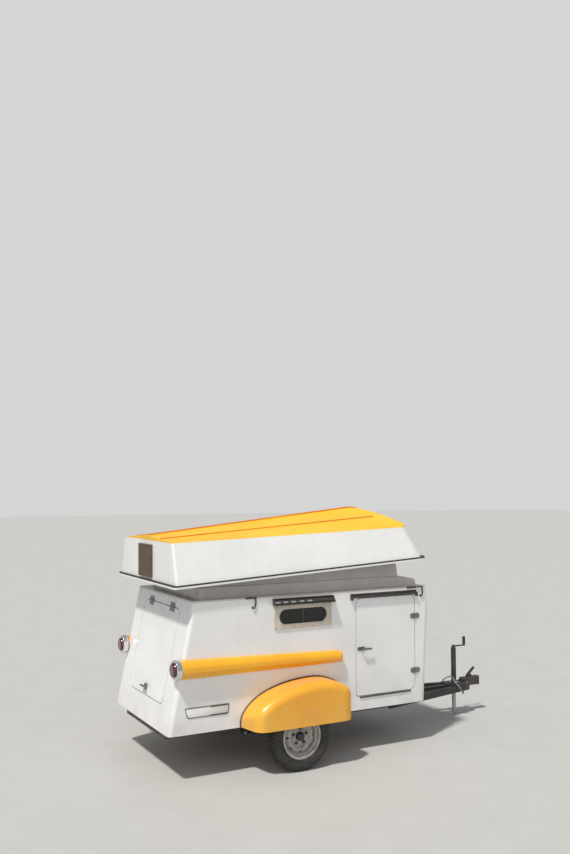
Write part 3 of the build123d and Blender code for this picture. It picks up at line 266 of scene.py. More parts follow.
def gelcoat(name, colour, shade, dust_strength=0.35):
    """Sprayed glass-fibre gelcoat: glossy, faintly wavy, with streaks and a little dust low down."""
    made = Shader(name, colour, 0.30, coat=0.3, coat_roughness=0.12)
    base = made.mix(made.patches(2.2, 6.0, 0.35, 0.65), colour, shade)
    base = made.streaks(base, tuple(part * 0.8 for part in shade), 0.22)
    made.dusty(base, (0.42, 0.36, 0.29), 0.33, 0.75, dust_strength)
    made.rough(0.22, 0.36, 9.0)
    wave = made.bump(made.noise(6.0, 2.0), 0.0016, 0.5)
    made.bump(made.noise(90.0, 2.0), 0.0001, 0.2, after=wave)
    return made.material


def strip_gelcoat():
    """The darker orange of the mouldings under the dinghy, worn through in places."""
    made = Shader("strip_gelcoat", (0.78, 0.24, 0.012), 0.34, coat=0.1, coat_roughness=0.15)
    base = made.mix(made.patches(4.0, 6.0, 0.35, 0.65), (0.80, 0.26, 0.014), (0.66, 0.18, 0.010))
    made.colour(made.mix(made.patches(24.0, 8.0, 0.62, 0.70, 0.7), base, (0.42, 0.14, 0.02)))
    made.rough(0.28, 0.45, 14.0)
    made.bump(made.noise(60.0, 4.0), 0.0004, 0.3)
    return made.material


# The dinghy's chine, where its paint changes, drawn from its gunwale and then tilted
HULL_TILT = math.radians(3.3)
CHINE_FALL = 51.0 / 2400.0
TRANSOM_X = 40.0
GUNWALE_HEIGHT = 1424.0
CHINE_HEIGHT = 318.0 - CHINE_FALL * TRANSOM_X
HULL_MIDDLE = (1200.0, 0.0, 1560.0)


def above_chine(made):
    """One above the plane of the chine, which falls towards the bow, and nothing below it."""
    slope = math.atan(CHINE_FALL) - HULL_TILT
    normal = Vector((math.sin(slope), 0.0, math.cos(slope)))
    ahead = TRANSOM_X - CHINE_HEIGHT * math.sin(HULL_TILT)
    up = GUNWALE_HEIGHT + CHINE_HEIGHT * math.cos(HULL_TILT)
    level = normal.dot(at(ahead, 0, up))
    return made.ranged(made.dot(made.coords, normal), level - 0.0015, level + 0.0005)


def hull_outside(made):
    """One on faces that look away from the middle of the hull, and nothing on its inner ones."""
    from_middle = made.node("ShaderNodeVectorMath", operation="SUBTRACT")
    made.link(made.coords, from_middle.inputs[0])
    from_middle.inputs[1].default_value = at(*HULL_MIDDLE)
    facing = made.node("ShaderNodeTexCoord").outputs["Normal"]
    return made.ranged(made.dot(from_middle.outputs[0], facing), 0.0, 0.01)


def hull_paint():
    """The dinghy's gelcoat: white sides and inside, and a yellow-orange bottom down to the chine."""
    white, white_shade = (0.86, 0.86, 0.85), (0.80, 0.80, 0.79)
    # The bottom's yellow-orange is its real colour made lighter and yellower than the trailer's gelcoat, as
    # painted sunlight on the upturned bottom.
    orange, orange_shade = (0.94, 0.57, 0.030), (0.91, 0.50, 0.022)
    made = Shader("hull_gelcoat", white, 0.32, coat=0.08, coat_roughness=0.15)
    made.set("Specular IOR Level", 0.3)
    drift = made.patches(2.5, 6.0, 0.35, 0.65)
    pale = made.streaks(made.mix(drift, white, white_shade), (0.60, 0.58, 0.54), 0.18)
    scuffs = made.noise(1.0, 6.0, made.stretched((5.0, 60.0, 60.0)))
    scuffs = made.ranged(scuffs, 0.64, 0.72, 0.0, 0.35)
    warm = made.mix(scuffs, made.mix(drift, orange, orange_shade), (0.78, 0.40, 0.10))
    bottom = made.math("MULTIPLY", above_chine(made), hull_outside(made))
    made.colour(made.mix(bottom, pale, warm))
    made.rough(0.34, 0.48, 8.0)
    wave = made.bump(made.noise(5.0, 2.0), 0.002, 0.5)
    made.bump(made.noise(90.0, 2.0), 0.0001, 0.2, after=wave)
    return made.material


def metal(name, colour, pits, low, high):
    """Plated metal, dulled and pitted with age, in the colour it is given; the dull chrome's colour is
    darkened as painted reflection of dark surroundings.
    """
    made = Shader(name, colour, low, metallic=1.0)
    made.colour(made.mix(made.patches(90.0, 5.0, 0.62, 0.74, 0.7), colour, pits))
    made.rough(low, high, 40.0)
    made.bump(made.noise(70.0, 3.0), 0.0002, 0.3)
    return made.material


def moulded(name, colour, roughness):
    """Moulded plastic with a fine grain."""
    made = Shader(name, colour, roughness)
    made.mottle(colour, tuple(part * 0.82 for part in colour), 12.0)
    made.bump(made.noise(400.0, 2.0), 0.0004, 0.5)
    return made.material


def tinted_glass():
    """Smoked sheet with a faint film of dirt, clear enough to show what is close behind it; its tint is
    taken very dark as painted shade of the dim inside behind it.
    """
    made = Shader("tinted_glass", (0.07, 0.076, 0.08), 0.03)
    made.set("Transmission Weight", 0.92)
    made.set("Specular IOR Level", 0.35)
    made.colour(made.mix(made.patches(14.0, 6.0, 0.4, 0.8), (0.065, 0.071, 0.075), (0.10, 0.10, 0.097)))
    made.rough(0.02, 0.09, 10.0)
    return made.material


# The tail lamp's height in metres, and how closely its rings lie
LAMP_HEIGHT = 0.821
LAMP_RINGS = 900.0


def red_lens():
    """The tail lamp's red lens, with rings moulded round its middle."""
    made = Shader("red_lens", (0.085, 0.003, 0.004), 0.14, coat=1.0, coat_roughness=0.04)
    made.mottle((0.09, 0.003, 0.004), (0.05, 0.002, 0.003), 30.0)
    axes = made.axes()
    side = made.math("ABSOLUTE", axes["Y"], 0.0)
    from_middle = made.node("ShaderNodeCombineXYZ")
    made.link(made.math("SUBTRACT", side, HALF_WIDTH / 1000), from_middle.inputs["Y"])
    made.link(made.math("SUBTRACT", axes["Z"], LAMP_HEIGHT), from_middle.inputs["Z"])
    away = made.node("ShaderNodeVectorMath", operation="LENGTH")
    made.link(from_middle.outputs[0], away.inputs[0])
    turns = made.math("MULTIPLY", away.outputs["Value"], LAMP_RINGS)
    made.bump(made.math("SINE", turns, 0.0), 0.0008, 0.8)
    return made.material


def black_steel():
    """Black painted steel with chips, rust specks and road dust."""
    made = Shader("black_steel", (0.022, 0.022, 0.023), 0.42, coat=0.1)
    base = made.mix(made.patches(11.0, 6.0, 0.35, 0.65), (0.020, 0.020, 0.021), (0.034, 0.032, 0.030))
    base = made.mix(made.patches(75.0, 8.0, 0.66, 0.70, 0.9), base, (0.13, 0.045, 0.018))
    made.colour(made.mix(made.patches(4.0, 8.0, 0.45, 0.8, 0.45), base, (0.16, 0.13, 0.10)))
    made.rough(0.34, 0.62, 16.0)
    made.bump(made.noise(120.0, 4.0), 0.0006, 0.4)
    return made.material


def zinc_steel():
    """Zinc-plated steel with its cloudy spangle."""
    made = Shader("zinc_steel", (0.46, 0.46, 0.45), 0.42, metallic=0.85)
    cells = made.node("ShaderNodeTexVoronoi")
    cells.inputs["Scale"].default_value = 90.0
    made.link(made.coords, cells.inputs["Vector"])
    spangle = made.ranged(cells.outputs["Distance"], 0.1, 0.7)
    base = made.mix(spangle, (0.50, 0.50, 0.49), (0.38, 0.38, 0.38))
    made.colour(made.mix(made.patches(22.0, 7.0, 0.6, 0.75, 0.6), base, (0.22, 0.16, 0.11)))
    made.rough(0.32, 0.58, 35.0)
    made.bump(made.noise(180.0, 3.0), 0.0003, 0.4)
    return made.material


def wheel_paint():
    """Grey-white wheel enamel with road dirt in patches."""
    made = Shader("wheel_paint", (0.42, 0.40, 0.37), 0.38, coat=0.2, coat_roughness=0.15)
    base = made.mix(made.patches(9.0, 6.0, 0.35, 0.65), (0.45, 0.43, 0.40), (0.34, 0.32, 0.29))
    made.colour(made.mix(made.patches(26.0, 8.0, 0.5, 0.72, 0.65), base, (0.13, 0.095, 0.07)))
    made.rough(0.3, 0.55, 20.0)
    made.bump(made.noise(200.0, 3.0), 0.0003, 0.4)
    return made.material


def tyre_rubber():
    """Worn black rubber with road dust."""
    made = Shader("tyre_rubber", (0.021, 0.021, 0.022), 0.72)
    base = made.mix(made.patches(14.0, 7.0, 0.35, 0.7), (0.018, 0.018, 0.019), (0.034, 0.032, 0.030))
    made.colour(made.mix(made.patches(30.0, 8.0, 0.48, 0.8, 0.4), base, (0.17, 0.14, 0.11)))
    made.rough(0.5, 0.85, 30.0)
    made.bump(made.noise(350.0, 3.0), 0.0005, 0.5)
    return made.material


def rubber(name, colour, bloom):
    """Old rubber with a pale bloom in patches."""
    made = Shader(name, colour, 0.62)
    made.mottle(colour, bloom, 25.0)
    made.rough(0.5, 0.75, 30.0)
    made.bump(made.noise(300.0, 3.0), 0.0004, 0.5)
    return made.material


def wood(name, light, dark, roughness, scale):
    """Wood whose grain runs along the axis with the smallest scale."""
    made = Shader(name, light, roughness)
    grain = made.noise(1.0, 8.0, made.stretched(scale), roughness=0.65)
    base = made.mix(made.ranged(grain, 0.3, 0.7), light, dark)
    fine = made.noise(1.0, 4.0, made.stretched(tuple(part * 9 for part in scale)))
    pores = made.ranged(fine, 0.52, 0.62, 0.0, 0.45)
    made.colour(made.mix(pores, base, tuple(part * 0.5 for part in dark)))
    made.rough(roughness - 0.08, roughness + 0.12, 12.0)
    made.bump(fine, 0.0006, 0.6)
    return made.material


def pad_fabric():
    """Woven cover cloth: two crossed sets of threads with a slub."""
    made = Shader("pad_fabric", (0.40, 0.42, 0.45), 0.92)
    made.set("Sheen Weight", 0.3)
    made.set("Sheen Roughness", 0.5)
    threads = []
    for direction in ("X", "Y"):
        wave = made.node("ShaderNodeTexWave", wave_type="BANDS", bands_direction=direction)
        wave.inputs["Scale"].default_value = 190.0
        wave.inputs["Distortion"].default_value = 0.6
        made.link(made.coords, wave.inputs["Vector"])
        threads.append(wave.outputs["Fac"])
    weave = made.math("MULTIPLY", threads[0], threads[1])
    slub = made.patches(45.0, 6.0, 0.3, 0.7)
    base = made.mix(weave, (0.30, 0.32, 0.35), (0.46, 0.48, 0.51))
    made.colour(made.mix(made.math("MULTIPLY", slub, 0.4), base, (0.55, 0.55, 0.54)))
    made.bump(weave, 0.0008, 0.7)
    return made.material


materials = {
    "white_gelcoat": gelcoat("white_gelcoat", (0.86, 0.86, 0.86), (0.80, 0.80, 0.79)),
    # The roof's gelcoat is darkened to taupe as painted shade: the shade of the dinghy over it.
    "white_gelcoat_roof": gelcoat("white_gelcoat_roof", (0.60, 0.565, 0.53), (0.53, 0.50, 0.465), 0.0),
    "hull_gelcoat": hull_paint(),
    "yellow_gelcoat": gelcoat("yellow_gelcoat", (0.92, 0.47, 0.024), (0.87, 0.39, 0.017), 0.3),
    "strip_gelcoat": strip_gelcoat(),
    "chrome": metal("chrome", (0.80, 0.80, 0.80), (0.34, 0.28, 0.22), 0.10, 0.28),
    # Dull chrome: rougher than chrome, and its colour taken far darker as painted reflection of dark
    # surroundings.
    "dull_chrome_dark_reflection": metal("dull_chrome_dark_reflection", (0.27, 0.27, 0.28), (0.12, 0.09, 0.07), 0.22, 0.40),
    "dark_metal": metal("dark_metal", (0.11, 0.10, 0.095), (0.05, 0.03, 0.02), 0.32, 0.52),
    "dark_trim": moulded("dark_trim", (0.060, 0.052, 0.050), 0.30),
    # The window frame's cream plastic is taken darker and more tan than cream as painted shade: the shade
    # it stands in under the dinghy.
    "window_plastic": moulded("window_plastic", (0.66, 0.59, 0.50), 0.4),
    "tinted_glass": tinted_glass(),
    "red_lens": red_lens(),
    "black_steel": black_steel(),
    "zinc_steel": zinc_steel(),
    "wheel_paint": wheel_paint(),
    "tyre_rubber": tyre_rubber(),
    "rubber": rubber("rubber", (0.022, 0.022, 0.023), (0.045, 0.043, 0.041)),
    # The welt's dark rubber is tinted orange-brown as painted bounce light: the fender's orange glowing
    # into the shadow line at its seam.
    "welt": rubber("welt", (0.115, 0.038, 0.012), (0.165, 0.060, 0.020)),
    "plywood": wood("plywood", (0.56, 0.40, 0.24), (0.42, 0.28, 0.15), 0.5, (3.0, 26.0, 26.0)),
    "bare_wood": wood("bare_wood", (0.16, 0.105, 0.065), (0.085, 0.055, 0.035), 0.72, (4.0, 4.0, 30.0)),
    "pad_fabric": pad_fabric(),
}
# Nodes whose finish differs from the plain one of their slot
own_finish = {
    "boat_latches": "dark_metal",
    "coupler_lever": "dark_metal",
    "door_hinge_plates": "dull_chrome_dark_reflection",
    "right_door_hinge_leaves": "dull_chrome_dark_reflection",
    "left_door_hinge_leaves": "dull_chrome_dark_reflection",
    "right_door_handle": "dull_chrome_dark_reflection",
    "left_door_handle": "dull_chrome_dark_reflection",
    "hatch_hinge_plates": "dull_chrome_dark_reflection",
    "hatch_hinge_leaves": "dull_chrome_dark_reflection",
    "hatch_handle": "dull_chrome_dark_reflection",
    "fender_welts": "welt",
    "keel_strip": "strip_gelcoat",
    "bottom_strakes": "strip_gelcoat",
}
slots = {part["node"]: part["material_slot"] for part in frame["record"]["subparts"]}
for node_name, node in nodes.items():
    if len(node.material_slots) == 0:
        node.data.materials.append(None)
    for place in node.material_slots:
        place.material = materials[own_finish.get(node_name, slots[node_name])]


# Shapes, each a list of points in the drawing's millimetres and a list of faces

CORNER_STEPS = 5
SHARP_ANGLE = math.radians(32)


def loft(rows, closed=False):
    """Join rows of as many points each; the ends are closed unless the rows run round."""
    count = len(rows[0])
    faces = []
    for row in range(len(rows) if closed else len(rows) - 1):
        here, there = row * count, (row + 1) % len(rows) * count
        for step in range(count):
            following = (step + 1) % count
            faces.append([here + step, here + following, there + following, there + step])
    if not closed:
        faces.append(list(range(count))[::-1])
        faces.append([(len(rows) - 1) * count + step for step in range(count)])
    return [Vector(point) for row in rows for point in row], faces


def joined(shapes):
    """Several shapes as one."""
    points, faces = [], []
    for more_points, more_faces in shapes:
        start = len(points)
        points += more_points
        faces += [[corner + start for corner in face] for face in more_faces]
    return points, faces


def ring(middle, side, up, radius, count):
    """Points round a circle."""
    turns = [2 * math.pi * step / count for step in range(count)]
    return [middle + (side * math.cos(turn) + up * math.sin(turn)) * radius for turn in turns]


def turned(profile, origin, direction, count=16):
    """Turn pairs of radius and distance about a line through origin."""
    along = Vector(direction).normalized()
    side = along.orthogonal().normalized()
    up = along.cross(side)
    rows = []
    for radius, distance in profile:
        rows.append(ring(Vector(origin) + along * distance, side, up, radius, count))
    return loft(rows)


def bar(path, radius, closed=False, count=8):
    """A round bar along a line of points."""
    spots = [Vector(point) for point in path]
    rows = []
    side = None
    for number, spot in enumerate(spots):
        before = spots[number - 1] if closed or number > 0 else spot
        after = spots[(number + 1) % len(spots)] if closed or number < len(spots) - 1 else spot
        along = (after - before).normalized()
        side = along.orthogonal() if side is None else side
        side = (side - along * side.dot(along)).normalized()
        rows.append(ring(spot, side, along.cross(side), radius, count))
    return loft(rows, closed)


def rounded_rectangle(x, z, length, tall, corner):
    """The outline of a rectangle with rounded corners, as pairs of X and Z."""
    outline = []
    for quarter, (forward, up) in enumerate(((1, 1), (-1, 1), (-1, -1), (1, -1))):
        for step in range(CORNER_STEPS + 1):
            turn = math.pi / 2 * (quarter + step / CORNER_STEPS)
            outline.append((
                x + forward * (length / 2 - corner) + corner * math.cos(turn),
                z + up * (tall / 2 - corner) + corner * math.sin(turn),
            ))
    return outline


def slab(side, x, z, length, tall, corner, low, high, edge=1.0):
    """A plate on a side wall, from low to high out of its face, with a bevelled edge."""
    rows = []
    for out, inset in ((low, 0.0), (high - edge, 0.0), (high, edge)):
        left = max(corner - inset, 0.3)
        outline = rounded_rectangle(x, z, length - 2 * inset, tall - 2 * inset, left)
        rows.append([(ahead, side * (HALF_WIDTH + out), up) for ahead, up in outline])
    return loft(rows)


# A rivet's radius and distance out, both as shares of its size
RIVET = ((1.0, -0.6), (1.0, 0.12), (0.93, 0.26), (0.7, 0.42), (0.42, 0.48), (0.32, 0.24), (0.06, 0.18))


def rivet(origin, direction, size):
    """A domed rivet with a dimple."""
    return turned([(radius * size, out * size) for radius, out in RIVET], origin, direction, 14)


def bolt(origin, direction, flats=17.0, tall=8.0):
    """A hexagon head or nut on its washer, with the screw's end."""
    corner = flats / 2 / math.cos(math.pi / 6)
    washer = ((corner + 2.5, -0.5), (corner + 2.5, 1.3), (corner + 2.0, 1.7), (1.0, 1.7))
    head = ((corner, 1.0), (corner, tall - 1.2), (corner * 0.88, tall), (1.0, tall))
    end = ((flats * 0.24, tall - 1.0), (flats * 0.24, tall + 2.2), (flats * 0.18, tall + 3.4))
    return joined([
        turned(washer, origin, direction, 20),
        turned(head, origin, direction, 6),
        turned(end, origin, direction, 12),
    ])


def add_piece(name, shape, slot, body, finish=None, replaces=()):
    """Make a piece of a shape and let it ride on a body."""
    points, faces = shape
    mesh = bpy.data.meshes.new(name)
    mesh.from_pydata([at(*point) for point in points], [], faces)
    work = bmesh.new()
    work.from_mesh(mesh)
    bmesh.ops.recalc_face_normals(work, faces=work.faces)
    work.to_mesh(mesh)
    work.free()
    mesh.shade_smooth()
    mesh.set_sharp_from_angle(angle=SHARP_ANGLE)
    mesh.materials.append(materials[finish or slot])
    piece = bpy.data.objects.new(name, mesh)
    bpy.context.scene.collection.objects.link(piece)
    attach(piece, body)
    if replaces:
        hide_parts(*replaces)
    return piece


# Tyres, with grooves and blocks in the tread and rings on the side walls

AXLE_X = 1017.0
WHEEL_MIDDLE = 742.0
WHEEL_HEIGHT = 255.0
# Distance from the tyre's middle, radius, and how deep the cross grooves are there
TYRE_HALF = (
    (2.4, 247.6, 0), (2.8, 254.8, 3.5), (17.2, 254.8, 3.5), (17.6, 247.6, 0),
    (22.4, 247.6, 0), (22.8, 254.7, 6), (29.0, 254.5, 6), (36.0, 253.6, 6), (43.0, 251.0, 6),
    (48.0, 248.3, 6), (51.2, 245.8, 6), (55.2, 239.6, 5), (56.4, 236.6, 0), (58.4, 231.4, 0),
    (60.6, 228.6, 0), (63.2, 222.8, 0), (65.7, 216.4, 0), (66.5, 209.0, 0), (66.1, 203.2, 0),
    (64.8, 199.2, 0), (64.5, 197.8, 0), (63.1, 197.2, 0), (62.0, 192.8, 0), (62.5, 192.2, 0),
    (60.8, 187.0, 0), (59.6, 186.5, 0), (58.4, 181.6, 0), (54.0, 175.4, 0), (49.6, 170.5, 0),
    (46.5, 167.0, 0), (46.4, 160.0, 0), (46.3, 156.4, 0), (45.2, 154.3, 0), (43.0, 153.4, 0),
)
# Each tread block and groove: shares of its pitch, and whether the groove is cut there
TREAD_PITCHES = 54
TREAD_STEPS = ((0.0, 0), (0.66, 0), (0.72, 1), (0.94, 1))
# How far the grooves lean, in radians for each millimetre from the tyre's middle
TREAD_SKEW = 0.0011


def tyre(side):
    """The whole tyre as one skin, its section repeated round the axle."""
    section = [(-out, radius, cut) for out, radius, cut in reversed(TYRE_HALF)] + list(TYRE_HALF)
    rows = []
    for pitch in range(TREAD_PITCHES):
        for share, grooved in TREAD_STEPS:
            row = []
            for out, radius, cut in section:
                turn = 2 * math.pi * (pitch + share) / TREAD_PITCHES + TREAD_SKEW * abs(out)
                reach = radius - cut * grooved
                row.append((
                    AXLE_X + reach * math.cos(turn),
                    side * WHEEL_MIDDLE + out,
                    WHEEL_HEIGHT + reach * math.sin(turn),
                ))
            rows.append(row)
    return loft(rows, closed=True)


# Wheel nuts on the disc, and the valve through the rim

DISC_FACE = 754.0
STUD_CIRCLE = 57.15
STUD_COUNT = 5
VALVE_RADIUS = 141.0
VALVE_TURN = math.radians(38)
VALVE_FOOT = 768.0
# Profiles of radius and distance out, with their number of corners: the seat, the nut and the stud's end
NUT_PARTS = (
    (((11.5, -0.3), (11.5, 1.2), (10.6, 3.0), (2.0, 3.0)), 24),
    (((11.0, 2.5), (11.0, 13.0), (9.4, 14.6), (2.0, 14.6)), 6),
    (((5.4, 13.0), (5.4, 17.0), (4.4, 18.4)), 14),
)
VALVE = (
    (6.0, -4.0), (6.0, 2.0), (4.6, 5.0), (4.0, 12.0), (4.0, 15.0), (4.6, 15.4), (4.6, 22.0), (3.4, 23.0),
)


def wheel_spot(side, radius, turn, out):
    """A point of a wheel, a turn forward from its top."""
    return (AXLE_X + radius * math.sin(turn), side * out, WHEEL_HEIGHT + radius * math.cos(turn))


def wheel_nuts(side):
    shapes = []
    for number in range(STUD_COUNT):
        spot = wheel_spot(side, STUD_CIRCLE, 2 * math.pi * number / STUD_COUNT, DISC_FACE)
        shapes += [turned(profile, spot, (0, side, 0), corners) for profile, corners in NUT_PARTS]
    return joined(shapes)


def valve(side):
    return turned(VALVE, wheel_spot(side, VALVE_RADIUS, VALVE_TURN, VALVE_FOOT), (0, side, 0), 16)


# Small pieces on the side walls

# How far pieces reach into the wall that they sit on
BITE = -0.2

# The strip between the hood's slats, whose face leans back, and the vents along it
STRIP_REAR, STRIP_FRONT = 861.5, 1400.5
HOOD_SPOTS = (884.0, 953.0, 1024.0, 1099.0, 1173.0)
VENT_LENGTH, VENT_TALL, VENT_CORNER = 44.0, 14.0, 6.6
# A vent's rim from its foot inwards: a share of its size, and how far out it is
VENT_STEPS = ((1.0, 0.8), (1.0, 2.2), (0.9, 3.2), (0.55, 3.4), (0.4, 3.0))
HOOD_LEAN = math.atan2(38.0, 50.0)
HOOD_FACE_OUT = 39.6
HOOD_FACE_HEIGHT = 1262.0


def on_hood(side, x, up, out):
    """A point of the hood's sloping face, up along it and out of it."""
    return (
        x,
        side * (HALF_WIDTH + HOOD_FACE_OUT - up * math.sin(HOOD_LEAN) + out * math.cos(HOOD_LEAN)),
        HOOD_FACE_HEIGHT + up * math.cos(HOOD_LEAN) + out * math.sin(HOOD_LEAN),
    )


def hood_strip(side):
    """The strip between the hood's slats that carries the vent rims."""
    rows = []
    for x, half in ((STRIP_REAR, 4.6), (STRIP_REAR + 1, 5.4), (STRIP_FRONT - 1, 5.4), (STRIP_FRONT, 4.6)):
        corners = ((-half, -1), (half, -1), (half, 1), (-half, 1))
        rows.append([on_hood(side, x, up, out) for up, out in corners])
    return loft(rows)


def hood_vents(side):
    """Bright oval vent rims on the hood's strip."""
    vents = []
    for middle in HOOD_SPOTS:
        rows = []
        for size, out in VENT_STEPS:
            outline = rounded_rectangle(0.0, 0.0, VENT_LENGTH * size, VENT_TALL * size, VENT_CORNER * size)
            rows.append([on_hood(side, middle + ahead, up, out) for ahead, up in outline])
        vents.append(loft(rows))
    return joined(vents)


BADGE_CORNERS = ((125.0, 535.0), (488.0, 535.0), (478.0, 459.0), (147.0, 459.0))
BADGE_MIDDLE = (309.0, 497.0)
BADGE_CUT = 7.0
# The heavier dark lengths of the rim, which stand in part for shadow along the front of its top and bottom,
# as painted shadow: middle, length and height
BADGE_BARS = ((408.0, 529.0, 150.0, 9.0), (400.0, 465.0, 146.0, 7.0))


def badge_outline(inset):
    """The outline of the badge's place, with cut corners, drawn in by inset."""
    drawn_in = []
    for x, z in BADGE_CORNERS:
        drawn_in.append((
            x - math.copysign(inset, x - BADGE_MIDDLE[0]),
            z - math.copysign(inset, z - BADGE_MIDDLE[1]),
        ))
    outline = []
    for number, corner in enumerate(drawn_in):
        for other in (drawn_in[number - 1], drawn_in[(number + 1) % 4]):
            away = Vector(other) - Vector(corner)
            outline.append(Vector(corner) + away.normalized() * BADGE_CUT)
    return outline


def badge_panel(side):
    """The bare plate inside the rim."""
    rows = []
    for out, inset in ((BITE, 2.0), (1.4, 2.0), (1.8, 2.6)):
        rows.append([(x, side * (HALF_WIDTH + out), z) for x, z in badge_outline(inset)])
    return loft(rows)


def badge_rim(side):
    """The raised rim, heavier along the front half of its top and bottom, where the extra dark bars are in
    part painted shadow.
    """
    rows = []
    for out, inset in ((BITE, 0.0), (3.2, 0.0), (4.0, 1.2), (4.0, 3.4), (3.2, 4.6), (BITE, 4.6)):
        rows.append([(x, side * (HALF_WIDTH + out), z) for x, z in badge_outline(inset)])
    bars = [slab(side, *place, 3.0, BITE, 5.0) for place in BADGE_BARS]
    return joined([loft(rows, closed=True)] + bars)


WINDOW_X = 1131.0
WINDOW_HEIGHT = 1145.0
FRAME_FACE = 618.8
PANE_OUT = -9.9
PANE_TALL = 117.0


def frame_rivets(side):
    """Rivets round the window's moulded frame."""
    steps = [(ahead, up) for ahead in (-248, -83, 83, 248) for up in (-84, 84)] + [(-253, 0), (253, 0)]
    spots = [(WINDOW_X + ahead, side * FRAME_FACE, WINDOW_HEIGHT + up) for ahead, up in steps]
    return joined([rivet(spot, (0, side, 0), 3.6) for spot in spots])


def window_bar(side):
    """The rail where the window's two panes meet, on the outside of the glass."""
    return slab(side, WINDOW_X, WINDOW_HEIGHT, 20.0, PANE_TALL, 2.0, PANE_OUT, PANE_OUT + 4.9)


HINGE_AXIS = 2231.0
HINGE_HEIGHTS = (610.0, 1066.0)
HINGE_RIVET_AWAY = 27.0
HINGE_RIVET_UP = 11
LEAF_FACE = 613.8
HANDLE_X = 1681.0
HANDLE_HEIGHT = 834.0
SCREW_AWAY = 30
DOOR_MIDDLE = 1925.0
SILL_HEIGHT = 443.0
SILL_LENGTH = 520.0


def hinge_rivets(side, step):
    """Rivets in the hinge leaves, a step ahead of the hinge line, or behind it if the step is negative."""
    heights = [height + up for height in HINGE_HEIGHTS for up in (-HINGE_RIVET_UP, HINGE_RIVET_UP)]
    spots = [(HINGE_AXIS + step, side * LEAF_FACE, height) for height in heights]
    return joined([rivet(spot, (0, side, 0), 3.8) for spot in spots])


def handle_screws(side):
    """Screws in the foot of the door's handle."""
    spots = [(HANDLE_X + ahead, side * LEAF_FACE, HANDLE_HEIGHT) for ahead in (-SCREW_AWAY, SCREW_AWAY)]
    return joined([rivet(spot, (0, side, 0), 3.6) for spot in spots])


def door_sill(side):
    """The rubber drip strip under the door; its dark line stands in part for the shadow under the door's
    lower edge, as painted shadow.
    """
    return slab(side, DOOR_MIDDLE, SILL_HEIGHT, SILL_LENGTH, 11.0, 4.5, BITE, 7.0, 2.5)


# Small pieces under the body and on the tongue

RAIL_FACE = 442.0
RAIL_MIDDLE = 420.0
RAIL_BOLTS = (80, 640, 1400, 1900, 2240)
RAIL_BOLT_HEIGHT = 312.0
SPRING_EYES = (707.0, 1327.0)
EYE_HEIGHT = 247.0
EYE_HALF = 27.8


def rail_bolts():
    """Bolts through the rails into the cross members."""
    spots = [(x, side * RAIL_FACE, RAIL_BOLT_HEIGHT) for x in RAIL_BOLTS for side in (-1, 1)]
    return joined([bolt(spot, (0, math.copysign(1, spot[1]), 0), 19.0, 9.0) for spot in spots])


def spring_bolts():
    """The bolts through the spring eyes."""
    bolts = []
    for x in SPRING_EYES:
        for side in (-1, 1):
            for face in (-1, 1):
                spot = (x, side * RAIL_MIDDLE + face * EYE_HALF, EYE_HEIGHT)
                bolts.append(bolt(spot, (0, face, 0)))
    return joined(bolts)


CLAMP_BEND = 31.0
CLAMP_APART = 30.0
CLAMP_ROD = 5.0
CLAMP_END = 188.0
PLATE_LOW, PLATE_HIGH = 194.5, 202.7
PLATE_LENGTH, PLATE_WIDTH = 100.0, 86.0
PLATE_EDGE = 1.2


def clamp_rod(y):
    """A rod bent over the axle, with both its ends down through the plate."""
    path = [(AXLE_X + CLAMP_BEND, y, CLAMP_END)]
    for step in range(13):
        turn = math.pi * step / 12
        path.append((AXLE_X + CLAMP_BEND * math.cos(turn), y, WHEEL_HEIGHT + CLAMP_BEND * math.sin(turn)))
    path.append((AXLE_X - CLAMP_BEND, y, CLAMP_END))
    return bar(path, CLAMP_ROD, count=12)


def clamp_plate(y):
    """The plate under the leaves, with its edges bevelled."""
    rows = []
    steps = ((PLATE_LOW, 1), (PLATE_LOW + PLATE_EDGE, 0), (PLATE_HIGH - PLATE_EDGE, 0), (PLATE_HIGH, 1))
    for z, drawn_in in steps:
        inset = 2 * PLATE_EDGE * drawn_in
        outline = rounded_rectangle(AXLE_X, y, PLATE_LENGTH - inset, PLATE_WIDTH - inset, 9.0)
        rows.append([(x, across, z) for x, across in outline])
    return loft(rows)


def axle_clamps():
    """Rods bent over the axle, their nuts, and the plates under the leaves."""
    shapes = []
    for side in (-1, 1):
        for face in (-1, 1):
            y = side * RAIL_MIDDLE + face * CLAMP_APART
            shapes.append(clamp_rod(y))
            for x in (AXLE_X - CLAMP_BEND, AXLE_X + CLAMP_BEND):
                shapes.append(bolt((x, y, PLATE_LOW), (0, 0, -1)))
        shapes.append(clamp_plate(side * RAIL_MIDDLE))
    return joined(shapes)


JACK_X = 3150.0
JACK_BOLT_CIRCLE = 42
JACK_BOLT_TURNS = (1.05, 3.14, 5.24)
DECK_TOP = 298.0
# One of the pair of bolts through the coupler
COUPLER_BOLT = (3262.0, 61.0, 289.0)


def tongue_bolts():
    """The bolts that hold the jack's deck and the coupler."""
    spots = []
    for turn in JACK_BOLT_TURNS:
        ahead, aside = JACK_BOLT_CIRCLE * math.cos(turn), JACK_BOLT_CIRCLE * math.sin(turn)
        spots.append((JACK_X + ahead, aside, DECK_TOP))
    x, y, z = COUPLER_BOLT
    spots += [(x, -y, z), (x, y, z)]
    return joined([bolt(spot, (0, 0, 1)) for spot in spots])


GRIP_X = 3280.0
GRIP_LOW = 646.0
GRIP_RIBS = 7
RIB_PITCH = 8.6
# Radius and height of the sleeve's foot, of each rib and of its top
GRIP_FOOT = ((11.4, 0.0), (13.6, 2.0))
RIB = ((14.2, 4.0), (14.6, 5.2), (14.6, 9.2), (14.2, 10.4), (13.4, 11.4))
GRIP_TOP = ((13.6, 66.0), (12.0, 68.5), (11.2, 68.8))


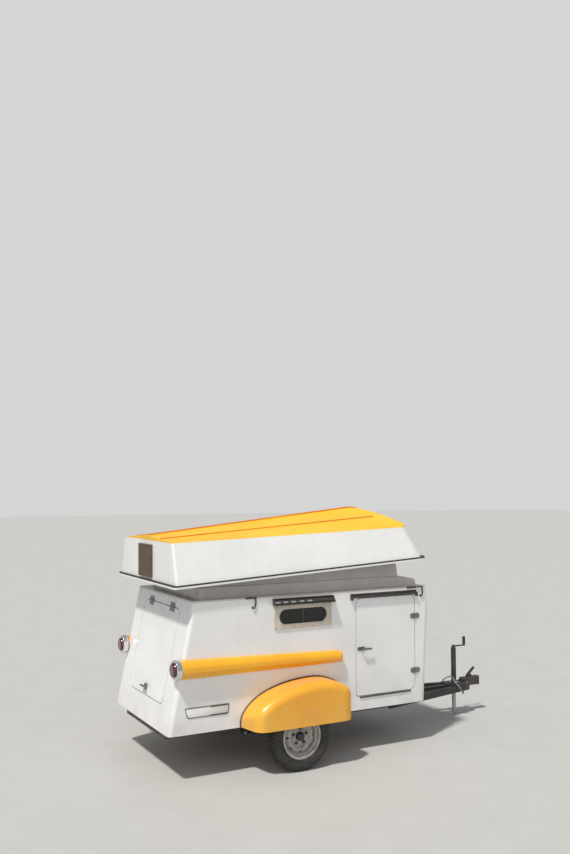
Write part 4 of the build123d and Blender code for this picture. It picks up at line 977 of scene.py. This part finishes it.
def crank_grip():
    """The ribbed sleeve on the crank's grip."""
    profile = list(GRIP_FOOT)
    for number in range(GRIP_RIBS):
        profile += [(radius, up + number * RIB_PITCH) for radius, up in RIB]
    profile += GRIP_TOP
    forward, across = Vector((1, 0, 0)), Vector((0, 1, 0))
    rows = [ring(Vector((GRIP_X, 0, GRIP_LOW + up)), forward, across, radius, 24) for radius, up in profile]
    return loft(rows)


# Half of the chain's way, from its hook to its middle over the jack
CHAIN_HALF = (
    (3226, -48, 224), (3222, -52, 206), (3206, -70, 194), (3176, -104, 206), (3140, -124, 240),
    (3112, -122, 284), (3098, -92, 306), (3106, -56, 330), (3116, -34, 346),
)
CHAIN_MIDDLE = (3112, 0, 350)
CHAIN_ROUTE = (*CHAIN_HALF, CHAIN_MIDDLE, *((x, -y, z) for x, y, z in reversed(CHAIN_HALF)))
LINK_PITCH = 19.0
LINK_ROUND = 6.5
LINK_WIRE = 2.4


def smooth_line(points):
    """The line that a NURBS curve follows through its control points."""
    data = bpy.data.curves.new("line", "CURVE")
    data.dimensions = "3D"
    data.resolution_u = 24
    spline = data.splines.new("NURBS")
    spline.points.add(len(points) - 1)
    for place, point in zip(spline.points, points):
        place.co = (*point, 1.0)
    spline.order_u = 3
    spline.use_endpoint_u = True
    holder = bpy.data.objects.new("line", data)
    mesh = bpy.data.meshes.new_from_object(holder)
    line = [vertex.co.copy() for vertex in mesh.vertices]
    bpy.data.objects.remove(holder)
    bpy.data.curves.remove(data)
    bpy.data.meshes.remove(mesh)
    return line


def spaced(line, pitch):
    """Points a pitch apart along a line."""
    spots = [line[0]]
    left = pitch
    for start, end in zip(line, line[1:]):
        run = (end - start).length
        while run >= left:
            start = start + (end - start).normalized() * left
            run -= left
            left = pitch
            spots.append(start)
        left -= run
    return spots


def link(start, end, upright):
    """One oval link between two points of the chain's way."""
    along = (end - start).normalized()
    side = along.cross(Vector((0.3, 0.2, 1.0))).normalized()
    up = along.cross(side)
    flat = (side + up).normalized() if upright else (side - up).normalized()
    middle = (start + end) / 2
    path = []
    for half in (1, -1):
        for step in range(7):
            turn = math.pi * (step / 6 - 0.5)
            ahead = LINK_ROUND + LINK_ROUND * math.cos(turn)
            path.append(middle + along * half * ahead + flat * half * LINK_ROUND * math.sin(turn))
    return bar(path, LINK_WIRE, closed=True)


def chain():
    """The safety chain, laid over the jack so that it stays off the ground."""
    spots = spaced(smooth_line(CHAIN_ROUTE), LINK_PITCH)
    return joined([link(*ends, number % 2) for number, ends in enumerate(zip(spots, spots[1:]))])


for side, which in ((-1, "right"), (1, "left")):
    wheel, door = f"{which}_road_wheel", f"{which}_side_door"
    add_piece(f"{which}_treaded_tyre", tyre(side), "tyre_rubber", wheel, replaces=[f"{which}_tyre"])
    add_piece(f"{which}_wheel_nuts", wheel_nuts(side), "chrome", wheel, "dark_metal")
    add_piece(f"{which}_valve", valve(side), "rubber", wheel)
    add_piece(f"{which}_hood_strip", hood_strip(side), "dark_trim", "trailer")
    add_piece(f"{which}_hood_vents", hood_vents(side), "chrome", "trailer")
    add_piece(f"{which}_badge_panel", badge_panel(side), "white_gelcoat", "trailer")
    add_piece(f"{which}_badge_rim", badge_rim(side), "dark_trim", "trailer")
    add_piece(f"{which}_frame_rivets", frame_rivets(side), "chrome", "trailer", "dull_chrome_dark_reflection")
    add_piece(f"{which}_window_bar", window_bar(side), "dark_trim", "trailer")
    on_wall, on_door = hinge_rivets(side, HINGE_RIVET_AWAY), hinge_rivets(side, -HINGE_RIVET_AWAY)
    add_piece(f"{which}_hinge_wall_rivets", on_wall, "chrome", "trailer", "dark_metal")
    add_piece(f"{which}_hinge_door_rivets", on_door, "chrome", door, "dark_metal")
    add_piece(f"{which}_handle_screws", handle_screws(side), "chrome", door, "dark_metal")
    add_piece(f"{which}_door_sill", door_sill(side), "rubber", "trailer")
add_piece("rail_bolts", rail_bolts(), "zinc_steel", "trailer")
add_piece("spring_bolts", spring_bolts(), "zinc_steel", "trailer")
add_piece("axle_clamps", axle_clamps(), "zinc_steel", "trailer")
add_piece("tongue_bolts", tongue_bolts(), "zinc_steel", "trailer")
add_piece("safety_chain", chain(), "zinc_steel", "trailer")
add_piece("crank_sleeve", crank_grip(), "rubber", "trailer")


# The sleeping pad, blown up as cloth between its buttons

PAD_LOW = Vector((584.0, -574.0, 361.5))
PAD_HIGH = Vector((2296.0, 574.0, 446.0))
PAD_CELLS = (72, 48, 4)
PAD_ROUND = 26.0
PAD_SWELL = 11.0
AIR_PRESSURE = 4.0
CLOTH_FRAMES = 20
BUTTONS_ALONG = 6
BUTTONS_ACROSS = 4
BUTTON_DEPTH = 22.0
BUTTON_SPREAD = 46.0
BUTTON = ((15.0, -3.0), (15.0, 1.5), (12.5, 4.0), (7.0, 5.8), (1.0, 6.4))
PIPING_LEVELS = (1, 3)
PIPING_RADIUS = 3.2


def pad_lattice():
    """A rounded box as a closed skin of small cells, and where each lattice point went."""
    index, points, faces = {}, [], []
    span = PAD_HIGH - PAD_LOW
    inner_low = PAD_LOW + Vector((PAD_ROUND,) * 3)
    inner_high = PAD_HIGH - Vector((PAD_ROUND,) * 3)

    def spot(place):
        """The number of the point at a lattice place, made when it is first asked for."""
        if place not in index:
            point = Vector(
                PAD_LOW[axis] + span[axis] * place[axis] / PAD_CELLS[axis] for axis in range(3)
            )
            core = Vector(min(max(point[axis], inner_low[axis]), inner_high[axis]) for axis in range(3))
            index[place] = len(points)
            points.append(core + (point - core).normalized() * PAD_ROUND)
        return index[place]

    for axis in range(3):
        first, second = [other for other in range(3) if other != axis]
        for end in (0, PAD_CELLS[axis]):
            for i in range(PAD_CELLS[first]):
                for j in range(PAD_CELLS[second]):
                    corners = []
                    for step_i, step_j in ((0, 0), (1, 0), (1, 1), (0, 1)):
                        place = [0, 0, 0]
                        place[axis], place[first], place[second] = end, i + step_i, j + step_j
                        corners.append(spot(tuple(place)))
                    faces.append(corners)
    return index, points, faces


def button_places():
    """Lattice places of the buttons on the top."""
    places = []
    for i in range(BUTTONS_ALONG):
        for j in range(BUTTONS_ACROSS):
            along = round(PAD_CELLS[0] * (i + 0.5) / BUTTONS_ALONG)
            places.append((along, round(PAD_CELLS[1] * (j + 0.5) / BUTTONS_ACROSS)))
    return places


def pad_edge():
    """Lattice places once round the pad."""
    long, wide = PAD_CELLS[0], PAD_CELLS[1]
    edge = [(i, 0) for i in range(long)]
    edge += [(long, j) for j in range(wide)]
    edge += [(long - i, wide) for i in range(long)]
    return edge + [(0, wide - j) for j in range(wide)]


def tuft(points, index, buttons):
    """Draw the pad's top in round the buttons."""
    centres = [points[number].xy.copy() for number in buttons]
    for place, number in index.items():
        if place[2] == PAD_CELLS[2]:
            away = min((points[number].xy - centre).length for centre in centres)
            points[number].z -= BUTTON_DEPTH * math.exp(-((away / BUTTON_SPREAD) ** 2))


def blow_up(piece, held):
    """Run the cloth with air in it and keep its last shape."""
    group = piece.vertex_groups.new(name="held")
    group.add(sorted(held), 1.0, "REPLACE")
    cloth = piece.modifiers.new("cloth", "CLOTH")
    settings = cloth.settings
    settings.quality = 5
    settings.use_pressure = True
    settings.uniform_pressure_force = AIR_PRESSURE
    settings.vertex_group_mass = "held"
    settings.effector_weights.gravity = 0.0
    cloth.point_cache.frame_start = 1
    cloth.point_cache.frame_end = CLOTH_FRAMES
    for number in range(1, CLOTH_FRAMES + 1):
        bpy.context.scene.frame_set(number)
    shown = piece.evaluated_get(bpy.context.evaluated_depsgraph_get())
    blown = shown.to_mesh()
    places = [vertex.co.copy() for vertex in blown.vertices]
    shown.to_mesh_clear()
    piece.modifiers.remove(cloth)
    piece.vertex_groups.remove(group)
    for vertex, place in zip(piece.data.vertices, places):
        step = place - vertex.co
        if step.length > PAD_SWELL / 1000:
            step.length = PAD_SWELL / 1000
        vertex.co += step
    bpy.context.scene.frame_set(1)


def make_mattress():
    """The cover with its tufts, the buttons in them, and the piping round both edges."""
    index, points, faces = pad_lattice()
    top = PAD_CELLS[2]
    places = button_places()
    buttons = [index[(i, j, top)] for i, j in places]
    tuft(points, index, buttons)
    pad = add_piece("mattress_cover", (points, faces), "pad_fabric", "trailer", replaces=["mattress"])
    held = {number for place, number in index.items() if place[2] == 0}
    for i, j in places:
        held |= {index[(i + along, j + across, top)] for along in (-1, 0, 1) for across in (-1, 0, 1)}
    blow_up(pad, held)
    smooth = pad.modifiers.new("smooth", "SUBSURF")
    smooth.levels = 1
    smooth.render_levels = 1
    spots = [vertex.co * 1000 + Vector((ORIGIN, 0, 0)) for vertex in pad.data.vertices]
    tufts = [turned(BUTTON, spots[number], (0, 0, 1), 20) for number in buttons]
    add_piece("mattress_buttons", joined(tufts), "pad_fabric", "trailer")
    pipes = []
    for level in PIPING_LEVELS:
        path = [spots[index[(i, j, level)]] for i, j in pad_edge()]
        pipes.append(bar(path, PIPING_RADIUS, closed=True))
    add_piece("mattress_piping", joined(pipes), "pad_fabric", "trailer")


make_mattress()
make_camera()
make_world()
make_floor()
make_sun("key", direction=(0.095, 0.052, -0.20), strength=3.05, angle=4.0, colour=(1.0, 0.97, 0.92))
make_sun("fill", direction=(0.48, 0.86, -0.30), strength=0.5, angle=60.0, colour=(0.95, 0.97, 1.0))

bpy.context.scene.view_settings.view_transform = "Standard"
